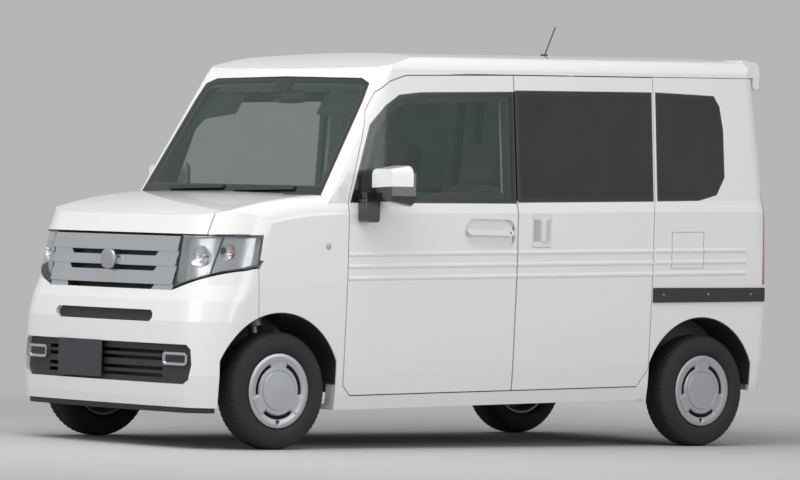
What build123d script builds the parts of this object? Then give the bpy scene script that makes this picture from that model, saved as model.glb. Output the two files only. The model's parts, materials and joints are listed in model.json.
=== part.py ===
from build123d import *
from math import cos, radians, sin, sqrt, tan
import os

# A small boxy van standing on its wheels.
# Millimetres, +Z up, nose towards -Y, the vehicle's left side towards +X.
# The origin is on the ground below the middle of the bounding box.

# Driving dimensions
nose_y = -1697.5
tail_y = 1697.5
half_width = 737.5
wheelbase = 2520.0
front_axle_y = -1232.5
rear_axle_y = front_axle_y + wheelbase
wheel_x = 655.0
hub_z = 262.0
rise_angle = 1.35

# Wheels and tyres
tyre_radius = 262.0
tyre_width = 145.0
spindle_play = 0.4
cap_radius = 160.0

# Walls
door_thickness = 38.0
frame_inset = 44.0
wall_thickness = 70.0
skin_thickness = 20.0
glass_thickness = 5.0
seat_gap = 0.3
panel_gap = 6.0

# Lines along the side, as heights at the middle of the wheelbase
sill_z = 198.0
door_bottom_z = 263.0
lower_crease_z = 362.0
shoulder_z = 1074.0
belt_z = 1125.0
glass_top_z = 1627.0
rail_z = 1703.0
roof_z = 1804.0

# Upright lines along the side
fender_gap_y = -872.0
pillar_gap_y = 112.0
slide_rear_y = 952.0
firewall_y = -985.0

rise = tan(radians(rise_angle))


def line_z(y, z):
    """Height at y of a line that climbs to the rear with the body."""
    return z + y * rise


def level(z):
    """Plane that climbs to the rear with the body's lines."""
    return Plane(
        origin=(0, 0, z),
        x_dir=(1, 0, 0),
        z_dir=(0, -sin(radians(rise_angle)), cos(radians(rise_angle))),
    )


def slice_outline(width, front, front_radius, rear, rear_radius, bow):
    """Rounded outline of the body at one level, bowed at the front."""
    reach = sqrt((bow - front_radius) ** 2 - (width - front_radius) ** 2)
    corner_y = front + bow - reach
    share = bow / (bow - front_radius)
    bow_x = (width - front_radius) * share
    bow_y = front + bow - reach * share
    turn = Vector(bow_x - width + front_radius, bow_y - corner_y, 0)
    mid = (turn.normalized() + Vector(1, 0, 0)).normalized() * front_radius
    mid_x = width - front_radius + mid.X
    mid_y = corner_y + mid.Y
    diagonal = rear_radius * (1 - sqrt(0.5))
    with BuildSketch() as outline:
        with BuildLine():
            ThreePointArc((-bow_x, bow_y), (0, front), (bow_x, bow_y))
            ThreePointArc((bow_x, bow_y), (mid_x, mid_y), (width, corner_y))
            Line((width, corner_y), (width, rear - rear_radius))
            ThreePointArc(
                (width, rear - rear_radius),
                (width - diagonal, rear - diagonal),
                (width - rear_radius, rear),
            )
            Line((width - rear_radius, rear), (-width + rear_radius, rear))
            ThreePointArc(
                (-width + rear_radius, rear),
                (-width + diagonal, rear - diagonal),
                (-width, rear - rear_radius),
            )
            Line((-width, rear - rear_radius), (-width, corner_y))
            ThreePointArc((-width, corner_y), (-mid_x, mid_y), (-bow_x, bow_y))
        make_face()
    return outline.sketch


# Body levels: height, half width, front, front corner radius, rear, rear corner radius
lower_levels = [
    (sill_z, 708.0, nose_y + 17, 150.0, tail_y - 22, 62.0),
    (door_bottom_z, 718.0, nose_y + 7, 170.0, tail_y - 12, 64.0),
    (lower_crease_z, 724.5, nose_y, 175.0, tail_y, 66.0),
    (600.0, 732.0, nose_y + 5, 205.0, tail_y, 70.0),
    (690.0, 734.8, nose_y + 22, 225.0, tail_y, 74.0),
    (760.0, 737.0, nose_y + 46, 245.0, tail_y, 80.0),
    (985.0, 737.3, nose_y + 76, 286.0, tail_y - 2, 92.0),
    (shoulder_z, half_width, nose_y + 108, 295.0, tail_y - 4, 96.0),
    (1260.0, half_width, nose_y + 190, 300.0, tail_y - 4, 96.0),
]
cabin_levels = [
    (shoulder_z, half_width, -1060.0, 60.0, tail_y - 4, 96.0),
    (belt_z, 724.0, -1028.0, 52.0, tail_y - 8, 100.0),
    (rail_z, 675.0, -668.0, 46.0, tail_y - 62, 92.0),
]
front_bow = 7000.0
screen_bow = 12000.0


def hull(levels, bow, inset=0.0, front_inset=None, rear_inset=None):
    """Body volume through the given levels, all moved in by an inset."""
    front_in = inset if front_inset is None else front_inset
    rear_in = inset if rear_inset is None else rear_inset
    with BuildPart() as volume:
        for height, width, front, front_radius, rear, rear_radius in levels:
            section = slice_outline(
                width - inset,
                front + front_in,
                max(front_radius - inset, 12.0),
                rear - rear_in,
                max(rear_radius - inset, 12.0),
                bow,
            )
            with BuildSketch(level(height)):
                add(section)
        loft(ruled=True)
    return volume.part


def both_sides(solid):
    """A left-hand solid with its mirror image."""
    return [solid, solid.mirror(Plane.YZ)]


def write(part, name):
    """Label a finished piece and write it."""
    part.label = name
    export_step(part, f"parts/{name}.step")


os.makedirs("parts", exist_ok=True)

# Master volumes of the body, and the same moved in by each wall
lower_outer = hull(lower_levels[:8], front_bow)
lower_tall = hull(lower_levels, front_bow)
lower_skin = hull(lower_levels, front_bow, skin_thickness)
lower_door = hull(lower_levels[:8], front_bow, door_thickness)
lower_frame = hull(lower_levels[:8], front_bow, frame_inset)
lower_inner = hull(lower_levels[:8], front_bow, wall_thickness)
cabin_outer = hull(cabin_levels, screen_bow)
cabin_glass_out = hull(cabin_levels, screen_bow, 0.6)
cabin_glass_in = hull(cabin_levels, screen_bow, glass_thickness)
cabin_rebate = hull(cabin_levels, screen_bow, glass_thickness + seat_gap)
cabin_door = hull(cabin_levels, screen_bow, door_thickness)
cabin_door_flat = hull(cabin_levels, screen_bow, door_thickness, 0.0, door_thickness)
cabin_frame = hull(cabin_levels, screen_bow, frame_inset)
roof_seat = hull(cabin_levels, screen_bow, glass_thickness + 2 * seat_gap)
cabin_inner = hull(cabin_levels, screen_bow, wall_thickness, 40.0, wall_thickness)
body_outer = lower_outer + cabin_outer
body_frame = lower_frame + cabin_frame
body_inner = lower_inner + cabin_inner

# Body shell: outer skin, inner frames, firewall and wheel arches
arch_radius = 347.0
arch_reach_front = 322.0
firewall_thickness = 22.0
frame_lap = 32.0

front_door_outline = [
    (fender_gap_y + 40, line_z(fender_gap_y + 40, door_bottom_z)),
    (pillar_gap_y - 4, line_z(pillar_gap_y - 4, door_bottom_z)),
    (pillar_gap_y - 4, line_z(pillar_gap_y - 4, rail_z - 2)),
    (-520.0, line_z(-520.0, rail_z - 10)),
    (-612.0, 1652.0),
    (-690.0, 1600.0),
    (-745.0, 1515.0),
    (-866.0, 1118.0),
    (fender_gap_y, 1098.0),
    (fender_gap_y, line_z(fender_gap_y, door_bottom_z + 45)),
]
slide_outline = [
    (pillar_gap_y + 4, line_z(pillar_gap_y + 4, door_bottom_z)),
    (slide_rear_y - 80, line_z(slide_rear_y - 80, door_bottom_z)),
    (slide_rear_y - 14, line_z(slide_rear_y - 14, door_bottom_z + 80)),
    (slide_rear_y - 12, line_z(slide_rear_y, shoulder_z)),
    (slide_rear_y, line_z(slide_rear_y, belt_z)),
    (slide_rear_y + 8, line_z(slide_rear_y, rail_z - 2)),
    (pillar_gap_y + 4, line_z(pillar_gap_y + 4, rail_z - 2)),
]


def grow(outline, amount):
    """Outline moved outwards, or inwards when the amount is negative."""
    with BuildSketch() as area:
        with BuildLine():
            Polyline(*outline, close=True)
        make_face()
        offset(amount=amount, kind=Kind.INTERSECTION)
    return area.sketch


def side_cut(outline, amount=0.0, start=300.0, end=900.0):
    """Left-side prism from an outline of (y, z) points grown by an amount."""
    shape = grow(outline, amount) if amount else None
    with BuildPart() as prism:
        with BuildSketch(Plane.YZ.offset(start)):
            if shape is None:
                with BuildLine():
                    Polyline(*outline, close=True)
                make_face()
            else:
                add(shape)
        extrude(amount=end - start)
    return prism.part


def arch_cut(axle_y, radius, reach, start, end):
    """Wheel-arch volume on the left side."""
    with BuildPart() as cut:
        with BuildSketch(Plane.YZ.offset(start)):
            with Locations((axle_y, hub_z)):
                Circle(radius)
                Rectangle(2 * reach, 4 * radius, mode=Mode.INTERSECT)
            with Locations((axle_y, hub_z - radius)):
                Rectangle(2 * reach, 2 * radius)
        extrude(amount=end - start)
    return cut.part


front_arch_y = front_axle_y - 6.0
rear_arch_y = rear_axle_y - 22.0
front_arch = arch_cut(front_arch_y, arch_radius, arch_reach_front, 380.0, 900.0)
rear_arch = arch_cut(rear_arch_y, arch_radius, arch_reach_front, 530.0, 900.0)

fender_outline = [
    (-1760.0, 150.0),
    (fender_gap_y - panel_gap, 150.0),
    (fender_gap_y - panel_gap, 1098.0),
    (-873.0, 1199.0),
    (-966.0, 1232.0),
    (-1010.0, 1150.0),
    (-1760.0, 1150.0),
]
quarter_window = [
    (slide_rear_y + 24, line_z(slide_rear_y, belt_z + 7)),
    (1230.0, line_z(1230.0, belt_z + 8)),
    (1340.0, 1190.0),
    (1391.0, 1270.0),
    (1391.0, 1490.0),
    (1372.0, 1600.0),
    (1340.0, 1645.0),
    (slide_rear_y + 30, line_z(slide_rear_y, glass_top_z)),
]
slide_window = [
    (pillar_gap_y + 14, line_z(pillar_gap_y, belt_z + 2)),
    (slide_rear_y - 12, line_z(slide_rear_y, belt_z + 5)),
    (slide_rear_y - 6, line_z(slide_rear_y, glass_top_z)),
    (pillar_gap_y + 14, line_z(pillar_gap_y, glass_top_z)),
]
front_window = [
    (-848.0, 1112.0),
    (pillar_gap_y - 14, line_z(pillar_gap_y, belt_z)),
    (pillar_gap_y - 14, line_z(pillar_gap_y, glass_top_z - 8)),
    (-440.0, 1600.0),
    (-560.0, 1585.0),
    (-640.0, 1535.0),
    (-730.0, 1450.0),
]
pane_lap = 38.0

screen_outline = [
    (-666.0, 1136.0),
    (666.0, 1136.0),
    (622.0, 1560.0),
    (604.0, 1640.0),
    (540.0, 1662.0),
    (0.0, 1670.0),
    (-540.0, 1662.0),
    (-604.0, 1640.0),
    (-622.0, 1560.0),
]


def front_cut(outline, amount=0.0, start=500.0, end=1760.0):
    """Prism through the front from an outline of (x, z) points."""
    shape = grow(outline, amount) if amount else None
    with BuildPart() as prism:
        with BuildSketch(Plane.XZ.offset(start)):
            if shape is None:
                with BuildLine():
                    Polyline(*outline, close=True)
                make_face()
            else:
                add(shape)
        extrude(amount=end - start)
    return prism.part


gate_outline = [
    (-585.0, 505.0),
    (585.0, 505.0),
    (640.0, 560.0),
    (640.0, 1120.0),
    (600.0, 1700.0),
    (575.0, 1790.0),
    (-575.0, 1790.0),
    (-600.0, 1700.0),
    (-640.0, 1120.0),
    (-640.0, 560.0),
]
gate_window = [
    (-560.0, 1150.0),
    (560.0, 1150.0),
    (530.0, 1600.0),
    (-530.0, 1600.0),
]


def rear_cut(outline, amount=0.0, start=1520.0, end=1800.0):
    """Prism through the tail from an outline of (x, z) points."""
    shape = grow(outline, amount) if amount else None
    with BuildPart() as prism:
        with BuildSketch(Plane.XZ.offset(-end)):
            if shape is None:
                with BuildLine():
                    Polyline(*outline, close=True)
                make_face()
            else:
                add(shape)
        extrude(amount=end - start)
    return prism.part


def block(x0, x1, y0, y1, z0, z1):
    """Plain block between two corners."""
    with BuildPart() as solid:
        with BuildSketch(Plane.XY.offset(z0)):
            with Locations(((x0 + x1) / 2, (y0 + y1) / 2)):
                Rectangle(x1 - x0, y1 - y0)
        extrude(amount=z1 - z0)
    return solid.part


tail_wall = 38.0

with BuildPart() as body_shell:
    add(body_outer)
    # Cabin and load space
    add(body_inner & block(-900, 900, firewall_y, tail_y - wall_thickness, 200, 1800), mode=Mode.SUBTRACT)
    # Nose, which the fenders, hood and bumper cover
    add(block(-900, 900, -1800, firewall_y - firewall_thickness, 100, 1125), mode=Mode.SUBTRACT)
    for fender_side in both_sides(side_cut(fender_outline, 0.4)):
        add(fender_side - lower_skin - block(-900, 900, -1100, 0, 1180, 1300), mode=Mode.SUBTRACT)
    # Underside between the sills
    add(block(-600, 600, -1100, 1800, 100, 300), mode=Mode.SUBTRACT)
    # Door openings with their inner frames
    for outline in (front_door_outline, slide_outline):
        for opening in both_sides(side_cut(outline, panel_gap - 1)):
            add(opening - body_frame, mode=Mode.SUBTRACT)
        for opening in both_sides(side_cut(outline, -frame_lap)):
            add(opening, mode=Mode.SUBTRACT)
    # Quarter windows
    for pane in both_sides(side_cut(quarter_window, seat_gap)):
        add(pane - cabin_rebate, mode=Mode.SUBTRACT)
    for pane in both_sides(side_cut(quarter_window, -pane_lap)):
        add(pane, mode=Mode.SUBTRACT)
    # Windscreen
    add(front_cut(screen_outline, seat_gap, 500, 1200) - cabin_rebate, mode=Mode.SUBTRACT)
    add(front_cut(screen_outline, -pane_lap, 500, 1200), mode=Mode.SUBTRACT)
    # Tailgate opening
    add(rear_cut(gate_outline, panel_gap) - body_frame, mode=Mode.SUBTRACT)
    add(rear_cut(gate_outline, -frame_lap, 1560), mode=Mode.SUBTRACT)
    # Wheel arches
    for arch in both_sides(rear_arch) + both_sides(front_arch):
        add(arch, mode=Mode.SUBTRACT)

# Roof: shell above the drip line, with a rounded front and shoulders
roof_skin = 22.0
roof_levels = [
    (rail_z, 675.0, -668.0, 46.0, tail_y - 62, 92.0),
    (rail_z + 30, 672.0, -652.0, 60.0, tail_y - 64, 92.0),
    (rail_z + 118, 655.0, -575.0, 70.0, tail_y - 70, 92.0),
]


def roof_volume(inset=0.0):
    """Roof above the drip line, moved in by an inset."""
    top = roof_z - inset
    edge = 672.0 - inset
    with BuildPart() as volume:
        add(hull(roof_levels, screen_bow, inset))
        with BuildSketch(
            Plane(
                origin=(0, -1900, -1900 * rise),
                x_dir=(-1, 0, 0),
                z_dir=(0, cos(radians(rise_angle)), sin(radians(rise_angle))),
            )
        ):
            with BuildLine():
                ThreePointArc((-590, top - 22), (0, top), (590, top - 22))
                ThreePointArc((590, top - 22), (edge - 24, top - 45), (edge, top - 82))
                Polyline((edge, top - 82), (edge + 8, 1600), (-edge - 8, 1600), (-edge, top - 82))
                ThreePointArc((-edge, top - 82), (-edge + 24, top - 45), (-590, top - 22))
            make_face()
        extrude(amount=3900, mode=Mode.INTERSECT)
        with BuildSketch(Plane.YZ.offset(-800)):
            with BuildLine():
                ThreePointArc((-700 + inset, 1696 - inset), (-420, 1774 - inset), (260, 1812 - inset))
                Polyline(
                    (260, 1812 - inset),
                    (1800, 1842 - inset),
                    (1800, 1600),
                    (-700 + inset, 1600),
                    (-700 + inset, 1696 - inset),
                )
            make_face()
        extrude(amount=1600, mode=Mode.INTERSECT)
    return volume.part


roof_outer = roof_volume()
roof_inner = roof_volume(roof_skin)
gate_hinge_y = 1588.0
drip_line = [
    (-760.0, 1618.0),
    (-640.0, 1655.0),
    (-520.0, line_z(-520.0, rail_z - 4)),
    (-157.0, line_z(-157.0, rail_z + 3)),
    (gate_hinge_y - panel_gap, line_z(gate_hinge_y, rail_z + 3)),
    (gate_hinge_y - panel_gap, 1900.0),
    (-760.0, 1900.0),
]
above_drip = side_cut(drip_line, 0, -900, 900)
screen_top_cut = front_cut(screen_outline, panel_gap - 1, 500, 1200)

with BuildPart() as roof_panel:
    add(roof_outer + cabin_outer - block(-900, 900, -900, 1700, 1000, 1560))
    add(roof_inner, mode=Mode.SUBTRACT)
    add(cabin_rebate - block(-900, 900, -900, 1700, 1000, 1560), mode=Mode.SUBTRACT)
    add(above_drip, mode=Mode.INTERSECT)
    add(screen_top_cut, mode=Mode.SUBTRACT)
write(roof_panel.part, "roof_panel")

# Nose: hood surface and fender shoulders turned about a cross axis
hood_front = (-1590.0, 1020.0)
hood_rear = (-985.0, 1135.0)
hood_sagitta = 20.0
shoulder_radius = 100.0
nose_reach = 738.0
chord_y = hood_rear[0] - hood_front[0]
chord_z = hood_rear[1] - hood_front[1]
chord = sqrt(chord_y**2 + chord_z**2)
hood_radius = (chord**2 / 4 + hood_sagitta**2) / (2 * hood_sagitta)
drop = hood_radius - hood_sagitta
hood_centre_y = (hood_front[0] + hood_rear[0]) / 2 + drop * chord_z / chord
hood_centre_z = (hood_front[1] + hood_rear[1]) / 2 - drop * chord_y / chord


def nose_cap(inset=0.0):
    """Space under the hood and fender tops, moved down by an inset."""
    radius = hood_radius - inset
    side = nose_reach - shoulder_radius
    corner = shoulder_radius * sqrt(0.5)
    with BuildPart() as volume:
        with BuildSketch(Plane(origin=(0, hood_centre_y, hood_centre_z), x_dir=(1, 0, 0), z_dir=(0, -1, 0))):
            with BuildLine():
                ThreePointArc((-side, radius), (0, radius + 9), (side, radius))
                ThreePointArc(
                    (side, radius),
                    (side + corner, radius - shoulder_radius + corner),
                    (nose_reach, radius - shoulder_radius),
                )
                Polyline(
                    (nose_reach, radius - shoulder_radius),
                    (nose_reach + 60, radius - shoulder_radius),
                    (nose_reach + 60, radius - 1200),
                    (-nose_reach - 60, radius - 1200),
                    (-nose_reach - 60, radius - shoulder_radius),
                    (-nose_reach, radius - shoulder_radius),
                )
                ThreePointArc(
                    (-nose_reach, radius - shoulder_radius),
                    (-side - corner, radius - shoulder_radius + corner),
                    (-side, radius),
                )
            make_face()
        revolve(axis=Axis((0, hood_centre_y, hood_centre_z), (1, 0, 0)), revolution_arc=36)
    cap = volume.part.rotate(Axis((0, hood_centre_y, hood_centre_z), (1, 0, 0)), -6)
    return cap


nose_front_space = block(-900, 900, -1800, -872, 100, 1330)
nose_outer = (lower_tall & nose_cap()) & nose_front_space
nose_inner = (lower_skin & nose_cap(skin_thickness)) & nose_front_space

hood_end_y = -1034.0
hood_outline = [
    (-600.0, -1800.0),
    (600.0, -1800.0),
    (604.0, -1503.0),
    (622.0, -1466.0),
    (462.0, hood_end_y),
    (-462.0, hood_end_y),
    (-622.0, -1466.0),
    (-604.0, -1503.0),
]
hood_lip_z = 946.0


def plan_cut(outline, amount=0.0, bottom=900.0, top=1300.0):
    """Upright prism from an outline of (x, y) points."""
    shape = grow(outline, amount) if amount else None
    with BuildPart() as prism:
        with BuildSketch(Plane.XY.offset(bottom)):
            if shape is None:
                with BuildLine():
                    Polyline(*outline, close=True)
                make_face()
            else:
                add(shape)
        extrude(amount=top - bottom)
    return prism.part


with BuildPart() as hood:
    add(nose_outer - nose_inner)
    add(plan_cut(hood_outline, -panel_gap / 2, hood_lip_z, 1300), mode=Mode.INTERSECT)
write(hood.part, "hood")

# Headlamps: clear lens over a tray in the corner of the nose
lamp_front_outline = [
    (474.0, 939.0),
    (463.0, 704.0),
    (727.0, 795.0),
    (760.0, 832.0),
    (760.0, 952.0),
]
lamp_side_y = [-1378.0, -1351.0]
lens_thickness = 4.0
lamp_depth = 70.0
lamp_behind = [
    (-1800.0, 650.0),
    (lamp_side_y[0], 650.0),
    (lamp_side_y[0], 795.0),
    (lamp_side_y[1], 955.0),
    (lamp_side_y[1], 1000.0),
    (-1800.0, 1000.0),
]


def lamp_space(amount):
    """Corner of the nose that one headlamp fills, grown by an amount."""
    return front_cut(lamp_front_outline, amount, 1200, 1760) & side_cut(lamp_behind, amount)


lens_inner = hull(lower_levels, front_bow, lens_thickness)
tray_outer = hull(lower_levels, front_bow, lens_thickness + seat_gap)
tray_floor = hull(lower_levels, front_bow, lamp_depth - 8)
tray_back = hull(lower_levels, front_bow, lamp_depth)
under_hood = plan_cut(hood_outline, panel_gap / 2, hood_lip_z - panel_gap, 1300)
with BuildPart() as headlamp_lenses:
    for lens in both_sides((lamp_space(-1.5) & (lower_tall - lens_inner)) - under_hood):
        add(lens)
write(headlamp_lenses.part, "headlamp_lenses")
bowl_rows = [  # x, y, height, bowl radius, bulb radius
    (572.0, -1606.0, 850.0, 62.0, 9.0),
    (668.0, -1498.0, 872.0, 38.0, 7.0),
]
reflector = (hull(lower_levels, front_bow, 30.0) - tray_floor) & lamp_space(-8.0)
for bowl_x, bowl_y, bowl_z, bowl_radius, bulb_radius in bowl_rows:
    with BuildPart(mode=Mode.PRIVATE) as bowl:
        with Locations((bowl_x, bowl_y, bowl_z)):
            Sphere(bowl_radius)
    with BuildPart(mode=Mode.PRIVATE) as bulb:
        with BuildSketch(Plane.XZ.offset(-bowl_y - bowl_radius - 4)):
            with Locations((bowl_x, bowl_z)):
                Circle(bulb_radius)
        extrude(amount=0.6 * bowl_radius)
    reflector = reflector - bowl.part + (bulb.part & tray_outer)
with BuildPart() as headlamp_housings:
    tray = (lamp_space(1.5 - seat_gap) & (tray_outer - tray_back)) - (lamp_space(-9.0) - tray_floor)
    for housing in both_sides((tray + reflector) - under_hood):
        add(housing)
write(headlamp_housings.part, "headlamp_housings")

# Front fenders
bumper_seam = [
    (-1800.0, 100.0),
    (-1330.0, 100.0),
    (-1366.0, 597.0),
    (-1376.0, 795.0),
    (-1351.0, 835.0),
    (-1800.0, 835.0),
]
bumper_top = [
    (-760.0, 830.0),
    (-727.0, 791.0),
    (-463.0, 698.0),
    (463.0, 698.0),
    (727.0, 791.0),
    (760.0, 830.0),
    (760.0, 100.0),
    (-760.0, 100.0),
]
with BuildPart() as front_fenders:
    fender_side = side_cut(fender_outline, 0, 380, 900)
    wing = (nose_outer - nose_inner) & fender_side
    wing = wing - plan_cut(hood_outline, panel_gap / 2, 900, 1300)
    wing = wing - side_cut(bumper_seam, 2.0) - lamp_space(1.5)
    wing = wing - block(0, 474, -1800, -1450, 600, 960)
    wing = wing - front_arch - body_shell.part
    wing = wing - front_cut(screen_outline, 4, 500, 1100)
    for fender in both_sides(wing):
        add(fender)
write(front_fenders.part, "front_fenders")

# Front bumper, its openings and the lip below
bumper_skin = 22.0
bumper_bottom_z = 184.0
lower_bumper_inner = hull(lower_levels, front_bow, bumper_skin)
slot_outline = [
    (-350.0, 555.0),
    (350.0, 555.0),
    (366.0, 571.0),
    (366.0, 590.0),
    (350.0, 606.0),
    (-350.0, 606.0),
    (-366.0, 590.0),
    (-366.0, 571.0),
]
mouth_outline = [
    (-590.0, 286.0),
    (590.0, 286.0),
    (618.0, 306.0),
    (630.0, 370.0),
    (622.0, 440.0),
    (600.0, 460.0),
    (-600.0, 460.0),
    (-622.0, 440.0),
    (-630.0, 370.0),
    (-618.0, 306.0),
]
with BuildPart() as front_bumper:
    bumper_space = side_cut(bumper_seam, -2.0, -900, 900) & front_cut(bumper_top, -1.5, 1200, 1760)
    add((lower_tall - lower_bumper_inner) & bumper_space)
    add(block(-900, 900, -1800, -1200, 100, bumper_bottom_z), mode=Mode.SUBTRACT)
    for arch in both_sides(front_arch):
        add(arch, mode=Mode.SUBTRACT)
    add(front_cut(slot_outline, 0, 1500, 1760), mode=Mode.SUBTRACT)
    add(front_cut(mouth_outline, 0, 1500, 1760), mode=Mode.SUBTRACT)
    for lamp in both_sides(lamp_space(1.5)):
        add(lamp, mode=Mode.SUBTRACT)
write(front_bumper.part, "front_bumper")

lip_outer = hull(lower_levels, front_bow, 14.0)
lip_inner = hull(lower_levels, front_bow, 60.0)
with BuildPart() as front_lip:
    add((lip_outer - lip_inner) & block(-720, 720, -1760, -1480, 156, bumper_bottom_z - seat_gap))
    for arch in both_sides(front_arch):
        add(arch, mode=Mode.SUBTRACT)
write(front_lip.part, "front_lip")

# Chrome grille: slanted bars over a plate with slots between them
grille_outline = [(-471.0, 935.0), (-460.0, 696.8), (460.0, 696.8), (471.0, 935.0)]
grille_slots = [(845.0, 866.0, 330.0), (778.0, 800.0, 330.0), (690.0, 719.0, 330.0)]
slot_slant = 20.0
grille_bars = [(867.0, 934.0), (801.0, 844.0), (720.0, 777.0)]
bar_proud_low = 11.0
bar_proud_high = 3.0
grille_depth = 26.0


def nose_line(z):
    """How far forward the nose reaches at a height."""
    for lower, upper in zip(lower_levels, lower_levels[1:]):
        if lower[0] <= z <= upper[0]:
            share = (z - lower[0]) / (upper[0] - lower[0])
            return lower[2] + share * (upper[2] - lower[2])
    return nose_y


def grille_bar(low, high):
    """One bar of the grille, leaning back towards its top."""
    tilt_drop = nose_y * rise
    rows = []
    for z, proud in ((low, bar_proud_low), (high, bar_proud_high)):
        z_line = z - tilt_drop
        rows.append((z_line, 700.0, nose_line(z_line) - proud, 200.0, 0.0, 60.0))
    return hull(rows, front_bow)


with BuildPart() as grille:
    add(lower_tall)
    for bar_low, bar_high in grille_bars:
        add(grille_bar(bar_low, bar_high))
    add(hull(lower_levels, front_bow, grille_depth), mode=Mode.SUBTRACT)
    add(front_cut(grille_outline, 0, 1500, 1760), mode=Mode.INTERSECT)
    for slot_bottom, slot_top, slot_half in grille_slots:
        slot = [
            (-slot_half, slot_top),
            (slot_half, slot_top),
            (slot_half - slot_slant, slot_bottom),
            (slot_slant - slot_half, slot_bottom),
        ]
        add(front_cut(slot, 0, 1400, 1760), mode=Mode.SUBTRACT)
write(grille.part, "grille")

# Black intake grilles behind the slot and the mouth
mesh_inset = 26.0
with BuildPart() as intake_grilles:
    mesh_layer = hull(lower_levels, front_bow, mesh_inset - 3.6)
    mesh_layer = mesh_layer - hull(lower_levels, front_bow, mesh_inset + 20)
    add(mesh_layer & front_cut(slot_outline, 12, 1500, 1760))
    with BuildPart(mode=Mode.PRIVATE) as mouth:
        add(mesh_layer & front_cut(mouth_outline, 12, 1500, 1760))
        for bar_z in (318.0, 348.0, 392.0, 422.0):
            add(block(-430, 430, -1760, -1500, bar_z - 8, bar_z + 8), mode=Mode.SUBTRACT)
    add(mouth.part)
write(intake_grilles.part, "intake_grilles")

# Fog lamps: a raised frame round each lens, seated on the panel of the lower mouth
fog_outline = [
    (452.0, 367.0),
    (588.0, 367.0),
    (598.0, 378.0),
    (598.0, 413.0),
    (588.0, 424.0),
    (452.0, 424.0),
    (442.0, 413.0),
    (442.0, 378.0),
]
fog_front = 9.0
fog_lens = 14.0
fog_frame = 9.0
with BuildPart() as fog_lamps:
    fog_back = hull(lower_levels, front_bow, mesh_inset - 3.6 - seat_gap)
    fog = (hull(lower_levels, front_bow, fog_front) - fog_back) & front_cut(fog_outline, 0, 1400, 1760)
    fog_window = hull(lower_levels, front_bow, fog_front - 5) - hull(lower_levels, front_bow, fog_lens)
    for lamp in both_sides(fog - (fog_window & front_cut(fog_outline, -fog_frame, 1400, 1760))):
        add(lamp)
write(fog_lamps.part, "fog_lamps")

# Ribs pressed into the side panels
rib_rows = [(892.0, -1150.0), (838.0, -1184.0), (785.0, -1216.0)]
rib_height = 13.0
rib_proud = 4.0
rib_end_y = 1545.0
side_frame = Plane(
    origin=(0, -1700, -1700 * rise),
    x_dir=(-1, 0, 0),
    z_dir=(0, cos(radians(rise_angle)), sin(radians(rise_angle))),
)
with BuildPart() as rib_bars:
    for rib_level, start_y in rib_rows:
        with BuildSketch(side_frame.offset(start_y + 1700)):
            with BuildLine():
                ThreePointArc(
                    (-half_width + 2, rib_level - rib_height),
                    (-half_width - rib_proud, rib_level),
                    (-half_width + 2, rib_level + rib_height),
                )
                Polyline(
                    (-half_width + 2, rib_level + rib_height),
                    (-half_width + 12, rib_level + rib_height),
                    (-half_width + 12, rib_level - rib_height),
                    (-half_width + 2, rib_level - rib_height),
                )
            make_face()
        extrude(amount=rib_end_y - start_y)
rib_left = rib_bars.part


def side_panel(outline, inner):
    """Left side panel with its ribs, cut to an outline."""
    return ((body_outer - inner) & side_cut(outline)) + ((rib_left - inner) & side_cut(outline))


# Fuel lid in the left quarter panel
lid_outline = [
    (1060.0, line_z(1060.0, 812.0)),
    (1254.0, line_z(1254.0, 812.0)),
    (1254.0, line_z(1254.0, 976.0)),
    (1060.0, line_z(1060.0, 976.0)),
]
lid_thickness = 6.0
lid_pocket = 46.0
lower_lid = hull(lower_levels[:8], front_bow, lid_thickness)
lower_lid_seat = hull(lower_levels[:8], front_bow, lid_thickness + seat_gap)
lower_pocket = hull(lower_levels[:8], front_bow, lid_pocket)
with BuildPart() as fuel_lid:
    add(side_panel(lid_outline, lower_lid + cabin_door))
write(fuel_lid.part, "fuel_lid")

# Rear corner pieces cut out of the shell
rear_bumper_outline = [
    (1480.0, 120.0),
    (1560.0, 590.0),
    (1640.0, 640.0),
    (1760.0, 640.0),
    (1760.0, 120.0),
]
rear_bumper_space = side_cut(rear_bumper_outline, 0, -900, 900)
rear_bumper_bottom = 262.0
tail_lamp_outline = [(648.0, 765.0), (780.0, 765.0), (780.0, 1212.0), (648.0, 1212.0)]
tail_lamp_y = 1640.0
tail_lamp_depth = 30.0
tail_lamp_space = rear_cut(tail_lamp_outline, 0, tail_lamp_y)
lower_lamp_back = hull(lower_levels[:8], front_bow, tail_lamp_depth) + hull(
    cabin_levels, screen_bow, tail_lamp_depth
)

with BuildPart() as body_shell_full:
    add(body_shell.part)
    add(above_drip - roof_seat, mode=Mode.SUBTRACT)
    for rib in both_sides((rib_left & block(300, 900, slide_rear_y + 2, 1700, 600, 1100)) - rear_arch):
        add(rib)
    add(side_cut(lid_outline, 5.0) - lower_lid_seat, mode=Mode.SUBTRACT)
    add(side_cut(lid_outline, -14.0) - lower_pocket, mode=Mode.SUBTRACT)
    add(rear_bumper_space - lower_skin, mode=Mode.SUBTRACT)
    add(block(-900, 900, 1500, 1800, 100, 300), mode=Mode.SUBTRACT)
    for lamp in both_sides(tail_lamp_space):
        add(lamp - lower_lamp_back, mode=Mode.SUBTRACT)
write(body_shell_full.part, "body_shell")

with BuildPart() as rear_bumper:
    add((lower_tall - lower_skin) & rear_bumper_space)
    add(block(-900, 900, 1400, 1800, 100, rear_bumper_bottom), mode=Mode.SUBTRACT)
    add(rear_cut(gate_outline, panel_gap), mode=Mode.SUBTRACT)
    for arch in both_sides(rear_arch):
        add(arch, mode=Mode.SUBTRACT)
write(rear_bumper.part, "rear_bumper")

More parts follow.
